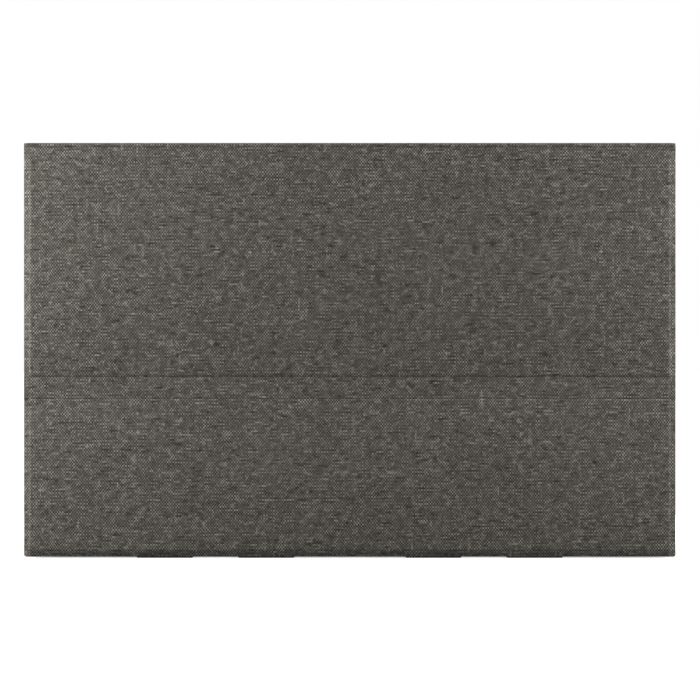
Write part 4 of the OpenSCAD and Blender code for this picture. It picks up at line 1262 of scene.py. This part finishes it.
steel = bare_metal("zinc_plated_steel", (0.42, 0.425, 0.435), (0.57, 0.575, 0.58), (0.28, 0.42))
metals = {
    "sheet_metal": bare_metal("rolled_sheet", (0.52, 0.53, 0.54), (0.66, 0.665, 0.67), (0.3, 0.45),
                              rolled=(0.06, 1, 1)),
    "magnet": bare_metal("nickel_plate", (0.50, 0.49, 0.47), (0.60, 0.59, 0.57), (0.14, 0.24), 260),
    "port_metal": bare_metal("stamped_steel", (0.48, 0.48, 0.49), (0.62, 0.62, 0.625), (0.2, 0.32), 700),
    "plunger_brass": bare_metal("turned_brass", (0.50, 0.34, 0.12), (0.68, 0.48, 0.20), (0.22, 0.34),
                                rolled=(1, 0.1, 0.1)),
    "black_steel": bare_metal("blackened_steel", (0.010, 0.010, 0.011), (0.028, 0.028, 0.030),
                              (0.34, 0.5), 900, metallic=0.5)}
print("metals:", ["steel"] + sorted(metals))

# %% [markdown]
# ## Boards and plastics
# The cover's boards are grey pressed board with visible fibres. Moulded black parts differ only in
# how deep their grain is. Circuit boards are green mask over copper: where a trace runs below, the
# mask is slightly raised and paler, so a brick pattern of thin lines is enough to suggest them.

# %% Board and plastic finishes
pressed_board, tree = new_finish("pressed_board")
fibres = noise(tree, 1500, 4, (0.3, 1, 1))
pulp = calc(tree, "MULTIPLY_ADD", fibres, 0.7, calc(tree, "MULTIPLY", noise(tree, 90, 2), 0.3))
surface(tree, ramp(tree, pulp, [
    (0.35, (0.20, 0.185, 0.155)), (0.5, (0.27, 0.25, 0.21)), (0.7, (0.36, 0.335, 0.285))]),
    fibres, 0.05, 0.5, **{"Roughness": 0.9, "Specular IOR Level": 0.2})

circuit_board, tree = new_finish("circuit_board")
upright_place = add_node(tree, "ShaderNodeMapping", {
    "Vector": object_place(tree), "Rotation": (math.pi / 2, 0, 0)}).outputs[0]
traces = add_node(tree, "ShaderNodeTexBrick", {
    "Vector": upright_place, "Scale": 320.0, "Mortar Size": 0.012, "Mortar Smooth": 0.3,
    "Brick Width": 1.9, "Row Height": 0.22}, offset=0.37).outputs["Fac"]
masked = ramp(tree, noise(tree, 200, 2), [(0.3, (0.006, 0.052, 0.026)), (0.7, (0.010, 0.070, 0.036))])
surface(tree, add_node(tree, "ShaderNodeMix", {0: traces, 6: masked, 7: (0.045, 0.17, 0.075, 1)},
                       data_type="RGBA").outputs[2], traces, 0.02, 0.5, **{
    "Roughness": range_of(tree, noise(tree, 80, 2), 0.3, 0.7, 0.28, 0.4)})

plastics = {
    "cover_board": pressed_board, "board_green": circuit_board,
    "chip_black": moulded("chip_resin", (0.012, 0.012, 0.013), (0.022, 0.022, 0.024),
                          4200, 0.015, (0.45, 0.6)),
    "black_plastic": moulded("black_moulding", (0.010, 0.010, 0.011), (0.019, 0.019, 0.020)),
    "key_plastic": moulded("satin_key", (0.018, 0.0185, 0.021), (0.030, 0.031, 0.034),
                           3800, 0.01, (0.3, 0.42))}
print("boards and plastics:", sorted(plastics))

# %% [markdown]
# ## Films, light guide and cables
# Behind the screen lie thin clear and white sheets. The light guide is clear acrylic with etched
# dots, which are rougher than the rest. The diode strip is white with a yellow diode every few
# millimetres. Flat cables are amber film over narrow copper lines.

# %% Finishes of the light box and the cables
diffuser, tree = new_finish("diffuser_film")
haze = noise(tree, 1800, 3)
surface(tree, ramp(tree, haze, [(0.3, (0.72, 0.745, 0.77)), (0.7, (0.80, 0.82, 0.84))]), haze, 0.005, 0.3, **{
    "Roughness": range_of(tree, haze, 0.3, 0.7, 0.35, 0.5), "Transmission Weight": 0.25})

etched_guide, tree = new_finish("etched_acrylic")
dots = add_node(tree, "ShaderNodeTexVoronoi", {
    "Vector": object_place(tree), "Scale": 900.0}).outputs["Distance"]
surface(tree, ramp(tree, dots, [(0.2, (0.86, 0.89, 0.91)), (0.35, (0.93, 0.95, 0.96))]), dots, 0.01, 0.3, **{
    "Roughness": range_of(tree, dots, 0.2, 0.35, 0.4, 0.05), "Transmission Weight": 0.85, "IOR": 1.49})

white_reflector, tree = new_finish("white_reflector")
chalk = noise(tree, 1200, 3)
surface(tree, ramp(tree, chalk, [(0.3, (0.78, 0.78, 0.78)), (0.7, (0.85, 0.85, 0.85))]), chalk, 0.01, 0.3, **{
    "Roughness": range_of(tree, chalk, 0.3, 0.7, 0.5, 0.65)})

diode_pitch, diode_width, diode_foot = 9 * mm, 3.8 * mm, 18.4 * mm
diodes, tree = new_finish("diode_strip")
point = add_node(tree, "ShaderNodeSeparateXYZ", {
    "Vector": add_node(tree, "ShaderNodeTexCoord").outputs["Object"]}).outputs
from_diode = calc(tree, "PINGPONG", point["X"], diode_pitch / 2)
is_diode = calc(tree, "MULTIPLY", calc(tree, "LESS_THAN", from_diode, diode_width / 2),
                calc(tree, "GREATER_THAN", point["Z"], diode_foot))
powder = noise(tree, 1500, 2)
surface(tree, add_node(tree, "ShaderNodeMix", {
    0: is_diode, 6: ramp(tree, powder, [(0.3, (0.74, 0.74, 0.72)), (0.7, (0.82, 0.82, 0.80))]),
    7: (0.75, 0.52, 0.06, 1)}, data_type="RGBA").outputs[2], powder, 0.01, 0.3, **{
    "Roughness": range_of(tree, powder, 0.3, 0.7, 0.4, 0.55)})

amber_cable, tree = new_finish("amber_flat_cable")
point = add_node(tree, "ShaderNodeSeparateXYZ", {
    "Vector": add_node(tree, "ShaderNodeTexCoord").outputs["Object"]}).outputs
lines = range_of(tree, calc(tree, "SINE", calc(tree, "MULTIPLY", point["Z"], 2 * math.pi / (0.8 * mm))),
                 -0.2, 0.2, 0, 1)
surface(tree, add_node(tree, "ShaderNodeMix", {
    0: lines, 6: ramp(tree, noise(tree, 300, 2), [(0.3, (0.30, 0.115, 0.018)), (0.7, (0.37, 0.15, 0.027))]),
    7: (0.50, 0.22, 0.06, 1)}, data_type="RGBA").outputs[2], lines, 0.01, 0.4, **{
    "Roughness": range_of(tree, noise(tree, 120, 2), 0.3, 0.7, 0.25, 0.36)})

clear_pipe, tree = new_finish("clear_light_pipe")
frost = noise(tree, 2400, 2)
surface(tree, ramp(tree, frost, [(0.3, (0.80, 0.84, 0.87)), (0.7, (0.88, 0.91, 0.93))]), frost, 0.01, 0.3, **{
    "Roughness": range_of(tree, frost, 0.3, 0.7, 0.2, 0.35), "Transmission Weight": 0.6, "IOR": 1.49})

red_insulation, tree = new_finish("red_insulation")
drawn = noise(tree, 500, 3, (0.1, 1, 1))
surface(tree, ramp(tree, drawn, [(0.3, (0.26, 0.012, 0.008)), (0.7, (0.34, 0.020, 0.014))]),
        drawn, 0.01, 0.3, **{"Roughness": range_of(tree, drawn, 0.3, 0.7, 0.28, 0.4)})
light_and_cables = {
    "film": diffuser, "acrylic": etched_guide, "reflector_white": white_reflector, "diode_strip": diodes,
    "flat_cable": amber_cable, "light_pipe": clear_pipe, "lead_insulation": red_insulation}
print("light box and cables:", sorted(light_and_cables))

# %% [markdown]
# ## Every part gets its finish
# A part's first material slot names what it is made of, so one table from those names to the
# finishes serves all parts that keep their solid. Parts that a finer piece stands for are hidden
# and are left as they are. The screen already has its own finish.

# %% Dress the solids
finish_of = {"steel": steel, **metals, **plastics, **light_and_cables}
replaced = {"cover_fabric", "cover_lining", "shell_grey", "stand_aluminium", "foot_rubber", "bezel_plastic"}
dressed = 0
for node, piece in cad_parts.items():
    made_of = piece.data.materials[0].name.split(".")[0]
    if node != "lcd_cell" and made_of not in replaced:
        recolour(node, finish_of[made_of])
        dressed += 1
print(dressed, "solids finished")
